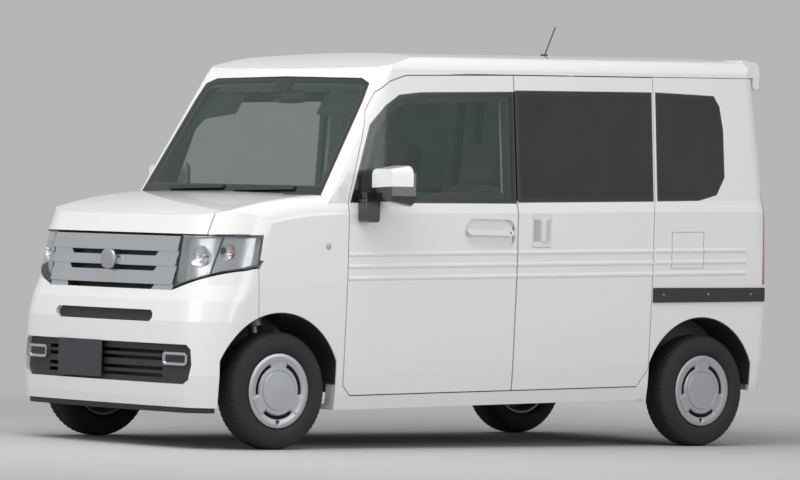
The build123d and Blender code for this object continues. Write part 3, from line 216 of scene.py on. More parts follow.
def sealed_steel(name, colour=(0.07, 0.07, 0.072), rust=0.25):
    """Underbody steel under sprayed sealant, with dust and small rust spots."""
    f = Finish(name, colour, Roughness=0.75)
    spray = f.noise(160.0, 4.0)
    spots = f.noise(23.0, 5.0).over(0.66, 0.04) * rust
    dirt = f.noise(5.0, 4.0)
    tone = f.mix(dirt * 0.5, colour, (0.17, 0.155, 0.135))
    f.set("Base Color", f.mix(spots, tone, (0.16, 0.06, 0.025)))
    f.set("Roughness", 0.62 + 0.3 * dirt)
    return f.bump(spray, 0.0006, 0.7)


def pane(name, colour, alpha, edge=None, ribs=None):
    """Tinted glass: thin coloured sheet with faint haze, black where an edge mask says, fluted by ribs."""
    f = Finish(name, colour, Roughness=0.03, Alpha=alpha, IOR=1.5, Coat_Weight=0.7, Coat_Roughness=0.01)
    haze = f.noise(5.0, 3.0)
    hazy = tuple(c * 1.15 + 0.012 for c in colour)
    tone, clear, rough = f.mix(haze, colour, hazy), alpha + haze * 0.02, 0.02 + 0.02 * haze
    if edge is not None:
        band = edge(f)
        tone = f.mix(band, tone, (0.008, 0.008, 0.009))
        clear, rough = clear * (1.0 - band) + band, rough + band * 0.2
    f.set("Base Color", tone)
    f.set("Alpha", clear)
    f.set("Roughness", rough)
    if ribs is not None:
        f.bump(ribs(f), 0.0012, 0.8)
    return f


def woven(name, colour, thread=0.0016):
    """Seat cloth: over-and-under threads, flecks of two yarns, soft fuzz."""
    f = Finish(name, colour, Roughness=0.9, Sheen_Weight=0.35, Sheen_Roughness=0.5)
    pitch = 2 * math.pi / thread
    warp = ((f.x + f.y * 0.35) * pitch).sine()
    weft = ((f.z + f.y * 0.8) * pitch).sine()
    cloth = (warp * weft) * 0.5 + 0.5
    fleck = f.noise(420.0, 2.0)
    worn = f.noise(4.0, 3.0)
    light = tuple(min(1.0, c * 1.45) for c in colour)
    dark = tuple(c * 0.62 for c in colour)
    f.set("Base Color", f.mix(cloth * 0.5 + worn * 0.2, f.mix(fleck, dark, colour), light))
    f.set("Roughness", 0.82 + 0.15 * fleck)
    return f.bump(cloth + fleck * 0.5, 0.0004, 0.7)


def shaded(name, colour, shade_colour, rough, **constants):
    """Finish with painted shade: hollows and seams are darkened towards a shade colour by the shade value
    that each point carries.
    """
    f = Finish(name, colour, Roughness=rough, **constants)
    shade = f.root.make("ShaderNodeAttribute", {"attribute_name": "shade"}, None, "Fac")
    grain = f.noise(240.0, 3.0)
    cloud = f.noise(8.0, 4.0)
    low = tuple(c * 0.78 for c in colour)
    # Painted shade: the shade value mixes the colour towards the shade colour.
    f.set("Base Color", f.mix(shade, f.mix(cloud * 0.5 + grain * 0.2, colour, low), shade_colour))
    f.set("Roughness", rough - 0.05 + 0.08 * cloud + 0.06 * grain + 0.3 * shade)
    return f.bump(grain, 0.00003, 0.4)


def fog_frame(name):
    """Bright frame round a dark fog lamp face with fine upright flutes, whose crests carry painted
    highlights.
    """
    f = Finish(name, (0.72, 0.73, 0.74), Roughness=0.12, Metallic=1.0)
    cloud = f.noise(20.0, 3.0)
    face = inside(abs(f.x), f.z, [(0.4565, 0.3785), (0.5860, 0.3785), (0.5860, 0.4125), (0.4565, 0.4125)])
    flute = (f.x * 900.0).sine() * 0.5 + 0.5
    # Painted highlights: each flute crest of the dark face is lighter.
    face_with_painted_highlights = f.mix(flute * 0.35 + cloud * 0.2, (0.035, 0.036, 0.038), (0.20, 0.205, 0.21))
    f.set("Base Color", f.mix(face, f.mix(cloud * 0.4, (0.74, 0.75, 0.76), (0.55, 0.56, 0.57)), face_with_painted_highlights))
    f.set("Roughness", 0.08 + 0.08 * cloud + 0.10 * face)
    return f.bump(face * flute, 0.0006, 0.6)


def lamp_tray(name):
    """Bright tray of a headlamp with black parts where its mask says."""
    f = Finish(name, (0.62, 0.63, 0.64), Roughness=0.2, Metallic=0.85)
    cloud = f.noise(18.0, 3.0)
    fine = f.noise(300.0, 2.0)
    dark = bowl_dark(f)
    bright = f.mix(cloud * 0.6, (0.66, 0.67, 0.68), (0.45, 0.46, 0.47))
    f.set("Base Color", f.mix(dark, bright, (0.02, 0.02, 0.02)))
    f.set("Roughness", 0.16 + 0.1 * cloud + 0.3 * dark)
    return f.bump(fine, 0.00004, 0.4)


rise = math.tan(math.radians(1.35))


def level(f, z):
    """Height over a body line that climbs towards the rear."""
    return f.z - f.y * rise - z


def inside(across, up, outline, reach=0.0, soft=0.001):
    """1 within a convex outline of corners listed anticlockwise, grown by a reach."""
    result = 1.0
    for (a, b), (c, d) in zip(outline, outline[1:] + outline[:1]):
        long = math.hypot(c - a, d - b)
        out_a, out_b = (d - b) / long, (a - c) / long
        away = across * out_a + up * out_b - (a * out_a + b * out_b)
        result = away.under(reach, soft) * result
    return result


front_window = [
    (-0.848, 1.112), (0.098, 1.128), (0.098, 1.620), (-0.440, 1.600), (-0.560, 1.585), (-0.640, 1.535),
    (-0.730, 1.450),
]
slide_window = [(0.126, 1.130), (0.940, 1.152), (0.946, 1.649), (0.126, 1.630)]
quarter_window = [
    (0.976, 1.154), (1.230, 1.162), (1.340, 1.190), (1.391, 1.270), (1.391, 1.490), (1.372, 1.600),
    (1.340, 1.645), (0.982, 1.650),
]
screen_half = [(-0.1, 1.136), (0.666, 1.136), (0.622, 1.560), (0.604, 1.640), (0.540, 1.662), (-0.1, 1.672)]
gate_half = [(-0.1, 1.150), (0.560, 1.150), (0.530, 1.600), (-0.1, 1.600)]
lamp_half = [(0.474, 0.946), (0.463, 0.704), (0.727, 0.795), (0.760, 0.832), (0.760, 0.946)]


def screen_edge(f):
    """Fired border of the windscreen, deeper along the cowl and round the mirror's foot."""
    border = 1.0 - inside(abs(f.x), f.z, screen_half, -0.017)
    foot = inside(abs(f.x), f.z, [(-0.1, 1.60), (0.05, 1.60), (0.07, 1.68), (-0.1, 1.68)])
    return border.high(f.z.under(1.172, 0.004)).high(foot)


def door_glass_edge(f):
    """Fired border of the front door glass, with the dark filler in its front lower corner."""
    corner = (f.y * 0.985 - f.z * 0.17).under(-0.985, 0.002)
    return (1.0 - inside(f.y, f.z, front_window, -0.010)).high(corner)


def privacy_edge(f):
    """Fired border of the two dark panes behind the middle pillar."""
    first = inside(f.y, f.z, slide_window, -0.014)
    return 1.0 - first.high(inside(f.y, f.z, quarter_window, -0.014))


def gate_edge(f):
    return 1.0 - inside(abs(f.x), f.z, gate_half, -0.030)


def lamp_edge(f):
    """Black rim of the headlamp lens and of its end on the fender."""
    rim = 1.0 - inside(abs(f.x), f.z, lamp_half, -0.0075)
    return rim.high((f.y - f.z * 0.169).over(-1.5205))


def lamp_ribs(f):
    """Upright flutes in the outer part of the lens."""
    outer = abs(f.x).over(0.690, 0.004)
    return outer * ((f.y * 1.4 + abs(f.x)) * 1050.0).sine() * 0.5


def bowl_dark(f):
    """Black divider between the two reflectors and black surround below them."""
    side = abs(f.x)
    divider = (side - f.z * 0.12).between(0.5215, 0.5290)
    return divider.high((f.z - side * 0.3447).under(0.5615, 0.002))


def door_black(f):
    """Black film over the rear post of the front door and a thin frame round its glass."""
    post = f.y.over(-0.037) * level(f, 1.128).over(0.0) * level(f, 1.612).under(0.0)
    frame_line = inside(f.y, f.z, front_window, 0.010) * f.y.under(0.2)
    return post.high(frame_line)


def slide_black(f):
    """Black film from the door's front edge to the glass, and a thin line round it."""
    front = f.y.under(0.16) * f.y.over(0.05) * level(f, 1.128).over(0.0) * level(f, 1.63).under(0.0)
    return front.high(inside(f.y, f.z, slide_window, 0.007))


def shell_black(f):
    """Thin black line round the quarter glass and the windscreen."""
    quarter = inside(f.y, f.z, quarter_window, 0.007)
    screen = inside(abs(f.x), f.z, screen_half, 0.007) * f.y.under(-0.60)
    return quarter.high(screen)


def mirror_black(f):
    """Lower half, rear face and stalk of a door mirror in black."""
    return (f.z - abs(f.x) * 0.05).under(1.134, 0.0008).high(f.y.over(-0.668))


finishes = {
    "paint": body_paint("pearl_white"),
    "underbody": sealed_steel("underbody_sealant"),
    "trim_black": moulded("black_trim", (0.018, 0.018, 0.019), 0.55),
    "gloss_black": moulded("black_gloss", (0.012, 0.012, 0.013), 0.18, 300.0, 0.00002, Coat_Weight=0.5),
    "cabin_plastic": moulded("cabin_plastic", (0.13, 0.115, 0.095), 0.6),
    "glass_light": pane("door_glass", (0.060, 0.095, 0.082), 0.26, door_glass_edge),
    "screen_glass": pane("screen_glass", (0.055, 0.090, 0.075), 0.24, screen_edge),
    "gate_glass": pane("gate_glass", (0.012, 0.013, 0.014), 0.80, gate_edge),
    "glass_dark": pane("privacy_glass", (0.012, 0.013, 0.014), 0.78, privacy_edge),
    "lens_clear": pane("lens_clear", (0.30, 0.31, 0.32), 0.10, lamp_edge, lamp_ribs),
    "plain_lens": pane("plain_lens", (0.42, 0.43, 0.44), 0.7),
    "fog_frame": fog_frame("fog_frame"),
    "amber": pane("amber_lens", (0.80, 0.20, 0.02), 0.85),
    "mirror_glass": brushed("mirror_glass", (0.80, 0.81, 0.82), 0.03, 1.0, 20.0, (1.0, 1.0, 1.0), 0.000005),
    "lens_red": moulded("lens_red", (0.33, 0.008, 0.008), 0.14, 260.0, 0.00003, Coat_Weight=1.0),
    "lamp_bowl": lamp_tray("lamp_bowl"),
    # Reflector dish with a band of painted shade over the bulb.
    "dish": shaded("reflector_dish", (0.80, 0.80, 0.81), (0.03, 0.03, 0.032), 0.12, Metallic=0.95),
    "chrome": brushed("chrome", (0.78, 0.79, 0.80), 0.22, 1.0, 40.0, (1.0, 1.0, 4.0)),
    "grille_dark": moulded("grille_dark", (0.02, 0.02, 0.022), 0.3, 300.0, 0.00004),
    "wheel_silver": brushed(
        "wheel_silver", (0.50, 0.51, 0.52), 0.33, 0.75, 180.0, (1.0, 1.0, 1.0), Coat_Weight=0.4
    ),
    "tyre": moulded("tyre_rubber", (0.014, 0.014, 0.0145), 0.78, 500.0, 0.0002),
    # Cap and tread carry painted shade in their slots and grooves.
    "cap_silver": shaded("cap_silver", (0.50, 0.51, 0.525), (0.012, 0.012, 0.013), 0.30, Metallic=0.75),
    "tread_rubber": shaded("tread_rubber", (0.016, 0.016, 0.0165), (0.004, 0.004, 0.004), 0.72),
    "seal_rubber": moulded("seal_rubber", (0.012, 0.012, 0.012), 0.7),
    "seat_cloth": woven("seat_cloth", (0.17, 0.155, 0.135)),
    "seat_base": moulded("seat_carpet", (0.03, 0.03, 0.032), 0.9, 260.0, 0.0006),
    "steel": brushed("drawn_steel", (0.26, 0.26, 0.265), 0.42),
    "engine_iron": sealed_steel("engine_iron", (0.12, 0.12, 0.125), 0.1),
    "plate_blank": moulded("blank_plate", (0.028, 0.031, 0.035), 0.42, 400.0, 0.00006),
}
finishes["door_paint"] = body_paint("door_white", door_black)
finishes["slide_paint"] = body_paint("slide_door_white", slide_black)
finishes["shell_paint"] = body_paint("shell_white", shell_black)
# Handle white with painted shade in the scoop and round the rim.
finishes["handle_paint"] = shaded(
    "handle_white", (0.79, 0.785, 0.755), (0.16, 0.155, 0.15), 0.32, Coat_Weight=0.8
)
finishes["mirror_paint"] = body_paint("mirror_white", mirror_black)

special = {
    "grille": "chrome",
    "fog_lamps": "fog_frame",
    "body_shell": "shell_paint",
    "mirror_left": "mirror_paint",
    "mirror_right": "mirror_paint",
    "windscreen": "screen_glass",
    "tailgate_glass": "gate_glass",
    "front_door_left": "door_paint",
    "front_door_right": "door_paint",
    "sliding_doors": "slide_paint",
}
slot_of = {row["node"]: row["material_slot"] for row in frame["record"]["subparts"]}
for node, thing in nodes.items():
    finish = finishes[special.get(node, slot_of.get(node, "trim_black"))].material
    if not thing.material_slots:
        thing.data.materials.append(finish)
    for place in thing.material_slots:
        place.material = finish


# Mesh helpers
def smooth(value, start, end):
    """0 before start, 1 after end, with an S-shaped rise between."""
    t = np.clip((value - start) / (end - start), 0.0, 1.0)
    return t * t * (3 - 2 * t)


def bell(value, middle, width):
    """1 at the middle, falling off on both sides."""
    return np.exp(-(((value - middle) / width) ** 2))


def sheet_faces(rows, columns, closed_columns=False, flip=False):
    """Quads between neighbours of a grid of points, whose columns may close into a ring."""
    r = np.arange(rows - 1)
    c = np.arange(columns if closed_columns else columns - 1)
    r, c = np.meshgrid(r, c, indexing="ij")
    row, next_row, next_c = r * columns, (r + 1) * columns, (c + 1) % columns
    quads = np.stack([row + c, row + next_c, next_row + next_c, next_row + c], -1).reshape(-1, 4)
    return quads[:, ::-1] if flip else quads


def add_piece(name, points, quads, finish, body, slot, shade=None, hides=()):
    """Puts arrays of points and faces into a new object that rides on a body."""
    points = np.asarray(points, dtype=np.float32).reshape(-1, 3)
    quads = np.asarray(quads, dtype=np.int32)
    mesh = bpy.data.meshes.new(name)
    mesh.vertices.add(len(points))
    mesh.vertices.foreach_set("co", points.ravel())
    mesh.loops.add(quads.size)
    mesh.loops.foreach_set("vertex_index", quads.ravel())
    mesh.polygons.add(len(quads))
    mesh.polygons.foreach_set("loop_start", np.arange(0, quads.size, 4, dtype=np.int32))
    mesh.polygons.foreach_set("loop_total", np.full(len(quads), 4, dtype=np.int32))
    mesh.polygons.foreach_set("use_smooth", np.ones(len(quads), dtype=bool))
    if shade is not None:
        layer = mesh.attributes.new("shade", "FLOAT", "POINT")
        layer.data.foreach_set("value", np.asarray(shade, dtype=np.float32).ravel())
    mesh.update(calc_edges=True)
    mesh.validate()
    mesh.materials.append(finishes[finish].material)
    thing = bpy.data.objects.new(name, mesh)
    bpy.context.scene.collection.objects.link(thing)
    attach(thing, body)
    if hides:
        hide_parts(*hides)
    return thing


def join(parts):
    """Several (points, quads) pairs as one pair."""
    shift, points, quads = 0, [], []
    for p, q in parts:
        p = np.asarray(p).reshape(-1, 3)
        points.append(p)
        quads.append(np.asarray(q) + shift)
        shift += len(p)
    return np.vstack(points), np.vstack(quads)


def tube(path, radius, sides=12):
    """Round bar: a circle carried along a path, with flat ends pulled to a point."""
    path = np.asarray(path, dtype=float)
    run = np.gradient(path, axis=0)
    run /= np.linalg.norm(run, axis=1)[:, None]
    aside = np.cross(run, [0.13, 0.27, 0.95])
    aside /= np.linalg.norm(aside, axis=1)[:, None]
    above = np.cross(aside, run)
    turn = np.linspace(0, 2 * np.pi, sides, endpoint=False)
    girth = np.broadcast_to(np.asarray(radius, dtype=float), (len(path),)).copy()
    path = np.vstack([path[:1], path, path[-1:]])
    aside, above = (np.vstack([v[:1], v, v[-1:]]) for v in (aside, above))
    girth = np.concatenate([[1e-5], girth, [1e-5]])
    ring = aside[:, None] * np.cos(turn)[None, :, None] + above[:, None] * np.sin(turn)[None, :, None]
    faces = sheet_faces(len(path), sides, closed_columns=True, flip=True)
    return path[:, None] + ring * girth[:, None, None], faces


# Wheels: caps and treaded tyres
axles = {
    "front_left": (1, -1.2325),
    "front_right": (-1, -1.2325),
    "rear_left": (1, 1.2875),
    "rear_right": (-1, 1.2875),
}
hub_height, hub_across = 0.262, 0.655
cap_turns, tyre_turns, dish_turns = 288, 300, 120


def turned_about_axle(across, middle, radius, turn):
    """Points of a profile turned about a wheel's axle."""
    return np.stack([across, middle + radius * np.cos(turn), hub_height + radius * np.sin(turn)], -1)


def angle_from(turn, at):
    """Unsigned angle between a turn and a place on the circle."""
    return np.abs((turn - at + np.pi) % (2 * np.pi) - np.pi)


def wheel_cap(side, middle):
    """Profile turned about the axle. Over the wheel's face the height is a crowned ring, a plate whose
    edge steps out to three lobes, a raised middle disc, slots that sink between the lobes and a valve dent.
    Behind the lip the profile runs back along the rim's barrel to the hub."""
    face = np.concatenate([[0.0002], np.linspace(0.012, 0.084, 8), np.linspace(0.0855, 0.0925, 8)])
    face = np.concatenate([face, np.linspace(0.095, 0.151, 42), np.linspace(0.154, 0.1655, 6)])
    behind = np.array(
        [(0.0535, 0.1655), (0.050, 0.159), (0.030, 0.152), (-0.030, 0.152), (-0.0540, 0.158),
         (-0.0590, 0.1655), (-0.0605, 0.1640), (-0.0580, 0.152), (-0.030, 0.146), (0.010, 0.145),
         (0.020, 0.132), (0.024, 0.070), (0.012, 0.060), (-0.012, 0.056), (-0.014, 0.036),
         (0.040, 0.034), (0.041, 0.0002)]
    )
    turn = np.linspace(0, 2 * np.pi, cap_turns, endpoint=False)
    rr, tt = np.meshgrid(face, turn, indexing="ij")
    off = np.min([angle_from(tt, np.radians(lobe_at)) for lobe_at in (90, 210, 330)], axis=0)
    lobe = 1 - smooth(off, np.radians(15.5), np.radians(20.5))
    reach = 0.1072 + 0.0375 * lobe
    plate = 1 - smooth(rr, reach - 0.0012, reach + 0.0012)
    slot = smooth(rr, 0.1095, 0.1125) * (1 - smooth(rr, 0.1245, 0.1275))
    slot = slot * smooth(off, np.radians(21.0), np.radians(24.0))
    valve = bell(angle_from(tt, -np.pi / 2), 0, 0.055) * bell(rr, 0.139, 0.009)
    seam = bell(rr, reach, 0.0011)
    disc = 1 - smooth(rr, 0.0865, 0.0885)
    groove = bell(rr, 0.0888, 0.0009)
    high = 0.0605 + 0.0028 * bell(rr, 0.150, 0.016) + 0.0022 * plate + 0.0018 * disc
    high = high + 0.0015 * bell(rr, 0.0, 0.07) - 0.0016 * groove - 0.0013 * seam * (1 - slot)
    high = high - 0.013 * slot - 0.008 * valve
    # Painted shade: near black in the slots and the valve dent, darker along the plate's seam and the disc's
    # groove.
    shade = np.clip(slot * 1.4 + valve * 1.3 + 0.55 * seam + 0.6 * groove, 0, 1)
    rr = np.vstack([rr, np.repeat(behind[:, 1:], cap_turns, axis=1)])
    high = np.vstack([high, np.repeat(behind[:, :1], cap_turns, axis=1)])
    # Light painted shade over the barrel and hub behind the lip.
    shade = np.vstack([shade, np.full((len(behind), cap_turns), 0.25)])
    points = turned_about_axle(side * (hub_across + high), middle, rr, np.broadcast_to(turn, rr.shape))
    return points, sheet_faces(len(rr), cap_turns, closed_columns=True, flip=side > 0), shade


def treaded_tyre(middle):
    """Profile turned about the axle. Across the tread four grooves run round, and slanted sipes and
    shoulder notches sink by a wave along the circumference; the walls carry fine rings."""
    half = np.array(
        [(0.0, 0.262), (0.030, 0.2614), (0.0435, 0.2603), (0.0535, 0.2562), (0.0612, 0.2475),
         (0.0668, 0.235), (0.0705, 0.221), (0.0722, 0.207), (0.0708, 0.193), (0.0665, 0.181),
         (0.0600, 0.173), (0.0560, 0.1695), (0.0550, 0.1640), (0.0548, 0.1535)]
    )
    step = np.concatenate([[0], np.cumsum(np.linalg.norm(np.diff(half, axis=0), axis=1))])
    dense = np.concatenate([np.linspace(0, 0.054, 28), np.linspace(0.0565, step[-1], 30)])
    w = np.interp(dense, step, half[:, 0])
    r = np.interp(dense, step, half[:, 1])
    w, r = np.concatenate([-w[::-1], w[1:]]), np.concatenate([r[::-1], r[1:]])
    turn = np.linspace(0, 2 * np.pi, tyre_turns, endpoint=False)
    ww, tt = np.meshgrid(w, turn, indexing="ij")
    rr = np.broadcast_to(r[:, None], ww.shape).copy()
    tread = 1 - smooth(np.abs(ww), 0.0505, 0.054)
    groove = sum(1 - smooth(np.abs(np.abs(ww) - at), 0.0016, 0.0034) for at in (0.0125, 0.0345))
    wave = np.cos(60 * tt + ww * 90)
    sipe = smooth(wave, 0.55, 0.9) * smooth(np.abs(np.abs(ww) - 0.0235), 0.0, 0.012)
    notch = smooth(np.cos(60 * tt + 1.1), 0.3, 0.8) * smooth(np.abs(ww), 0.040, 0.044) * (
        1 - smooth(np.abs(ww), 0.058, 0.063)
    )
    rr -= tread * (0.0060 * np.clip(groove, 0, 1) + 0.0028 * sipe * (1 - np.clip(groove, 0, 1)))
    rr -= 0.0032 * notch
    ring = 0.0007 * (np.abs(((rr - 0.182) * 1000) % 9 - 4.5) < 0.9) * smooth(rr, 0.176, 0.18) * (
        1 - smooth(rr, 0.236, 0.24)
    )
    across = ww + np.sign(ww) * (ring - 0.0006)
    points = turned_about_axle(across, middle, rr, tt)
    # Painted shade in the round grooves and the shoulder notches.
    shade = np.clip(tread * np.clip(groove, 0, 1) + 0.6 * notch, 0, 1)
    return points, sheet_faces(len(w), tyre_turns, closed_columns=True), shade


for place, (side, middle) in axles.items():
    body = f"wheel_{place}"
    points, quads, shade = wheel_cap(side, middle)
    add_piece(
        f"cap_{place}", points, quads, "cap_silver", body, "wheel_silver", shade, hides=[f"wheel_{place}"]
    )
    points, quads, shade = treaded_tyre(middle)
    points[..., 0] += side * hub_across
    add_piece(f"tread_{place}", points, quads, "tread_rubber", body, "tyre", shade, hides=[f"tyre_{place}"])


leftward, rightward, rearward, upright = (1, 0, 0), (-1, 0, 0), (0, 1, 0), (0, 0, 1)


def dome(centre, along, upward, half, height, square=2.0, skirt=0.003, rings=9, turns=72):
    """Crowned plate: outline |a|^n + |b|^n = 1, height 1 - s^4 from the middle to the edge, and
    a skirt behind."""
    s = np.concatenate([[0.001], np.linspace(0.12, 1.0, rings), [1.0, 0.001]])
    turn = np.linspace(0, 2 * np.pi, turns, endpoint=False)
    ss, tt = np.meshgrid(s, turn, indexing="ij")
    out = (np.abs(np.cos(tt)) ** square + np.abs(np.sin(tt)) ** square) ** (-1.0 / square)
    rise_up = height * (1 - ss**4)
    rise_up[-2:] = -skirt
    along, upward = np.array(along, dtype=float), np.array(upward, dtype=float)
    facing = np.cross(along, upward)
    spots = [half[0] * ss * out * np.cos(tt), half[1] * ss * out * np.sin(tt), rise_up]
    points = np.array(centre) + sum(v[..., None] * axis for v, axis in zip(spots, (along, upward, facing)))
    return points, sheet_faces(len(s), turns, closed_columns=True, flip=True)


def mirrored(points, quads):
    """The same piece on the other side of the middle plane."""
    return points * np.array([-1.0, 1.0, 1.0]), quads[:, ::-1]


def on_both_sides(name, points, quads, finish, body, slot, **more):
    """A left piece and its mirrored twin; a body name with a side in it follows."""
    add_piece(f"{name}_left", points, quads, finish, body, slot, **more)
    twin, faces = mirrored(points, quads)
    add_piece(f"{name}_right", twin, faces, finish, body.replace("left", "right"), slot, **more)


# Nose: blank badge, reflectors, bulbs, side markers
points, quads = dome((0, -1.6655, 0.824), leftward, upright, (0.050, 0.043), 0.005, 2.6, 0.012)
add_piece("blank_badge", points, quads, "wheel_silver", "body", "chrome")


def reflector(centre, radius, depth):
    """Dish turned about the travel axis: y = -depth (r/R)^2, with flutes and a band of painted shade over the
    bulb.
    """
    r = np.concatenate([[0.0003], np.linspace(0.06, 1.0, 26)]) * radius
    turn = np.linspace(0, 2 * np.pi, dish_turns, endpoint=False)
    rr, tt = np.meshgrid(r, turn, indexing="ij")
    flute = 0.0009 * np.cos(20 * tt) * (rr / radius) ** 2
    away = -depth * (rr / radius) ** 2 + flute
    points = np.stack([centre[0] + rr * np.cos(tt), centre[1] + away, centre[2] + rr * np.sin(tt)], -1)
    up = points[..., 2] - centre[2]
    # Painted shade: a dark band at the bulb's height over the inner dish.
    shade = bell(up, 0.0, 0.10 * radius) * (rr < 0.72 * radius)
    return points, sheet_faces(len(r), dish_turns, closed_columns=True, flip=True), shade


points, quads, shade = reflector((0.572, -1.5475, 0.850), 0.0465, 0.0190)
on_both_sides("main_dish", points, quads, "dish", "body", "lamp_bowl", shade=shade)
points, quads, shade = reflector((0.668, -1.4660, 0.872), 0.0330, 0.0150)
on_both_sides("outer_dish", points, quads, "dish", "body", "lamp_bowl", shade=shade * 0)
bulb_base, bulb_length, bulb_radius = np.array([0.668, -1.468, 0.872]), 0.022, 0.0085
reach = np.linspace(0, 1, 14)[:, None]
girth = bulb_radius * np.sqrt(np.clip(1 - reach[:, 0] ** 3, 0.001, 1))
points, quads = tube(bulb_base + reach * np.array([0, -bulb_length, 0]), girth, 20)
on_both_sides("amber_bulb", points, quads, "amber", "body", "lens_red")
points, quads = dome((0.7368, -0.988, 0.905), rearward, upright, (0.016, 0.016), 0.004)
on_both_sides("side_marker", points, quads, "plain_lens", "body", "lens_clear")

# Door mirrors, inside mirror
points, quads = dome((0.842, -0.6547, 1.186), rightward, upright, (0.078, 0.074), 0.0010, 5.0, 0.004)
on_both_sides("mirror_face", points, quads, "mirror_glass", "front_door_left", "chrome")
points, quads = dome((0, -0.640, 1.585), rightward, (0, -0.2, 0.98), (0.115, 0.030), 0.001, 4.0, 0.022)
stem = tube(np.array([[0, -0.650, 1.600], [0, -0.668, 1.622], [0, -0.675, 1.640]]), 0.007)
points, quads = join([(points, quads), stem])
add_piece("inside_mirror", points, quads, "gloss_black", "body", "trim_black")

# Rear wiper
wiper_radius = 0.0046
sweep = np.linspace(0, 1, 16)[:, None]
arm = np.array([0.02, 1.6922, 1.168]) + sweep * np.array([0.30, -0.004, 0.020])
blade = np.array([0.10, 1.6915, 1.190]) + sweep * np.array([0.34, -0.004, 0.018])
cap = dome((0.02, 1.6910, 1.168), rightward, upright, (0.024, 0.020), 0.006, 2.4, 0.02)
points, quads = join([tube(arm, wiper_radius), tube(blade, wiper_radius), cap])
add_piece("rear_wiper", points, quads, "trim_black", "tailgate", "trim_black")

# Screws of the slide rails
heads = [
    dome((0.7432, y, z), rearward, upright, (0.0075, 0.0075), 0.002, turns=24, rings=4)
    for y, z in [(1.010, 0.712), (1.290, 0.716), (1.560, 0.720)]
]
on_both_sides("rail_screws", *join(heads), "steel", "body", "steel")


# Sliding doors: handle plates with an upright bar beside a scoop in painted shade
def slide_handle():
    """Grid over the plate: height is a rounded rim, plus an upright bar near the middle; the scoop on both
    sides of the bar is sunk a little and carries painted shade, as does a thin line round the rim."""
    across, up = np.linspace(-1, 1, 61), np.linspace(-1, 1, 81)
    aa, bb = np.meshgrid(across, up, indexing="ij")
    rim = (1 - smooth(np.abs(aa), 0.95, 1.0)) * (1 - smooth(np.abs(bb), 0.965, 1.0))
    bar = smooth(aa, -0.16, -0.06) * (1 - smooth(aa, 0.36, 0.46)) * (1 - smooth(np.abs(bb), 0.62, 0.68))
    scoop = (1 - smooth(np.abs(aa), 0.84, 0.92)) * (1 - smooth(np.abs(bb), 0.60, 0.68)) * (1 - bar)
    # Painted shade along a thin line round the rim.
    line = bell(np.maximum(np.abs(aa), np.abs(bb) * 0.985 + 0.012), 0.965, 0.022)
    high = 0.7362 + 0.0030 * rim + 0.0075 * bar - 0.0016 * scoop
    points = np.stack([high, 0.2555 + 0.0575 * aa, 0.9960 + 0.0780 * bb], -1)
    # Painted shade in the scoop, stronger towards the front, plus the rim line.
    shade = np.clip(scoop * (0.42 - 0.16 * aa) + 0.5 * line, 0, 1)
    return points, sheet_faces(len(across), len(up)), shade


points, quads, shade = slide_handle()
on_both_sides("slide_handle", points, quads, "handle_paint", "body", "paint", shade=shade)
points, quads = dome(
    (0.7532, 0.056, 0.984), rearward, upright, (0.0055, 0.0055), 0.0008, turns=24, rings=4
)
on_both_sides("key_slot", points, quads, "gloss_black", "front_door_left", "trim_black")


# Seats: each CAD cushion as a sewn pad
voxel, rounding = 0.008, 16
swell, crown_height, valley_depth, valley_width, top_room = 0.002, 0.011, 0.008, 0.007, 0.006


def sewn_pad(name, node, middle, half, seams, rows):
    """Copy of a cushion, remeshed and smoothed, then moved along its normals: a crown that falls off as
    1 - (x/half)^2 on both sides of each seat's middle, less narrow valleys along its seams and rows."""
    source = nodes[node]
    pad = bpy.data.objects.new(name, source.data.copy())
    bpy.context.scene.collection.objects.link(pad)
    shell = pad.modifiers.new("shell", "REMESH")
    shell.mode, shell.voxel_size = "VOXEL", voxel
    soft = pad.modifiers.new("soft", "SMOOTH")
    soft.factor, soft.iterations = 0.5, rounding
    bpy.context.view_layer.update()
    mesh = bpy.data.meshes.new_from_object(pad.evaluated_get(bpy.context.evaluated_depsgraph_get()))
    pad.modifiers.clear()
    pad.data = mesh
    count = len(mesh.vertices)
    spots, facing = np.zeros(count * 3), np.zeros(count * 3)
    mesh.vertices.foreach_get("co", spots)
    mesh.vertices.foreach_get("normal", facing)
    spots, facing = spots.reshape(-1, 3), facing.reshape(-1, 3)
    across = np.abs(spots[:, 0]) - middle
    crown = np.clip(1 - (across / half) ** 2, 0, 1)
    valley = sum(bell(np.abs(across), at, valley_width) for at in seams)
    valley = valley + sum(bell(spots[:, axis], at, valley_width) for axis, at in rows)
    spots += facing * (swell + crown_height * crown - valley_depth * np.clip(valley, 0, 1))[:, None]
    low, high = (np.array(corner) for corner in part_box(node))
    spots = np.clip(spots, low, high + np.array([0.0, 0.0, top_room]))
    mesh.vertices.foreach_set("co", spots.astype(np.float32).ravel())
    mesh.polygons.foreach_set("use_smooth", np.ones(len(mesh.polygons), dtype=bool))
    mesh.update()
    mesh.materials.clear()
    mesh.materials.append(finishes["seat_cloth"].material)
    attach(pad, "body")
    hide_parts(node)


sewn_pad("front_pads", "front_seat_cushions", 0.335, 0.25, (0.155,), ((1, -0.330), (1, -0.120)))
sewn_pad("front_back_pads", "front_seat_backs", 0.335, 0.25, (0.150,), ((2, 0.860), (2, 1.050)))
sewn_pad("rear_pad", "rear_seat", 0.262, 0.27, (0.245,), ((1, 0.830), (1, 0.980)))
sewn_pad("rear_back_pads", "rear_seat_backs", 0.262, 0.27, (0.170,), ((2, 0.800), (2, 0.980)))


# Stage: floor that fades into the plain backdrop, world, lamps, camera
backdrop = (0.46, 0.465, 0.47)
fade_start, fade_end = 2.4, 5.5


def seen_by_eye(wire):
    """1 for camera, glossy and glass rays."""
    path = wire.tree.nodes.new("ShaderNodeLightPath")
    keys = ("Is Camera Ray", "Is Glossy Ray", "Is Transmission Ray")
    eye, gloss, through = (Wire(wire.tree, path.outputs[key]) for key in keys)
    return eye.high(gloss).high(through)


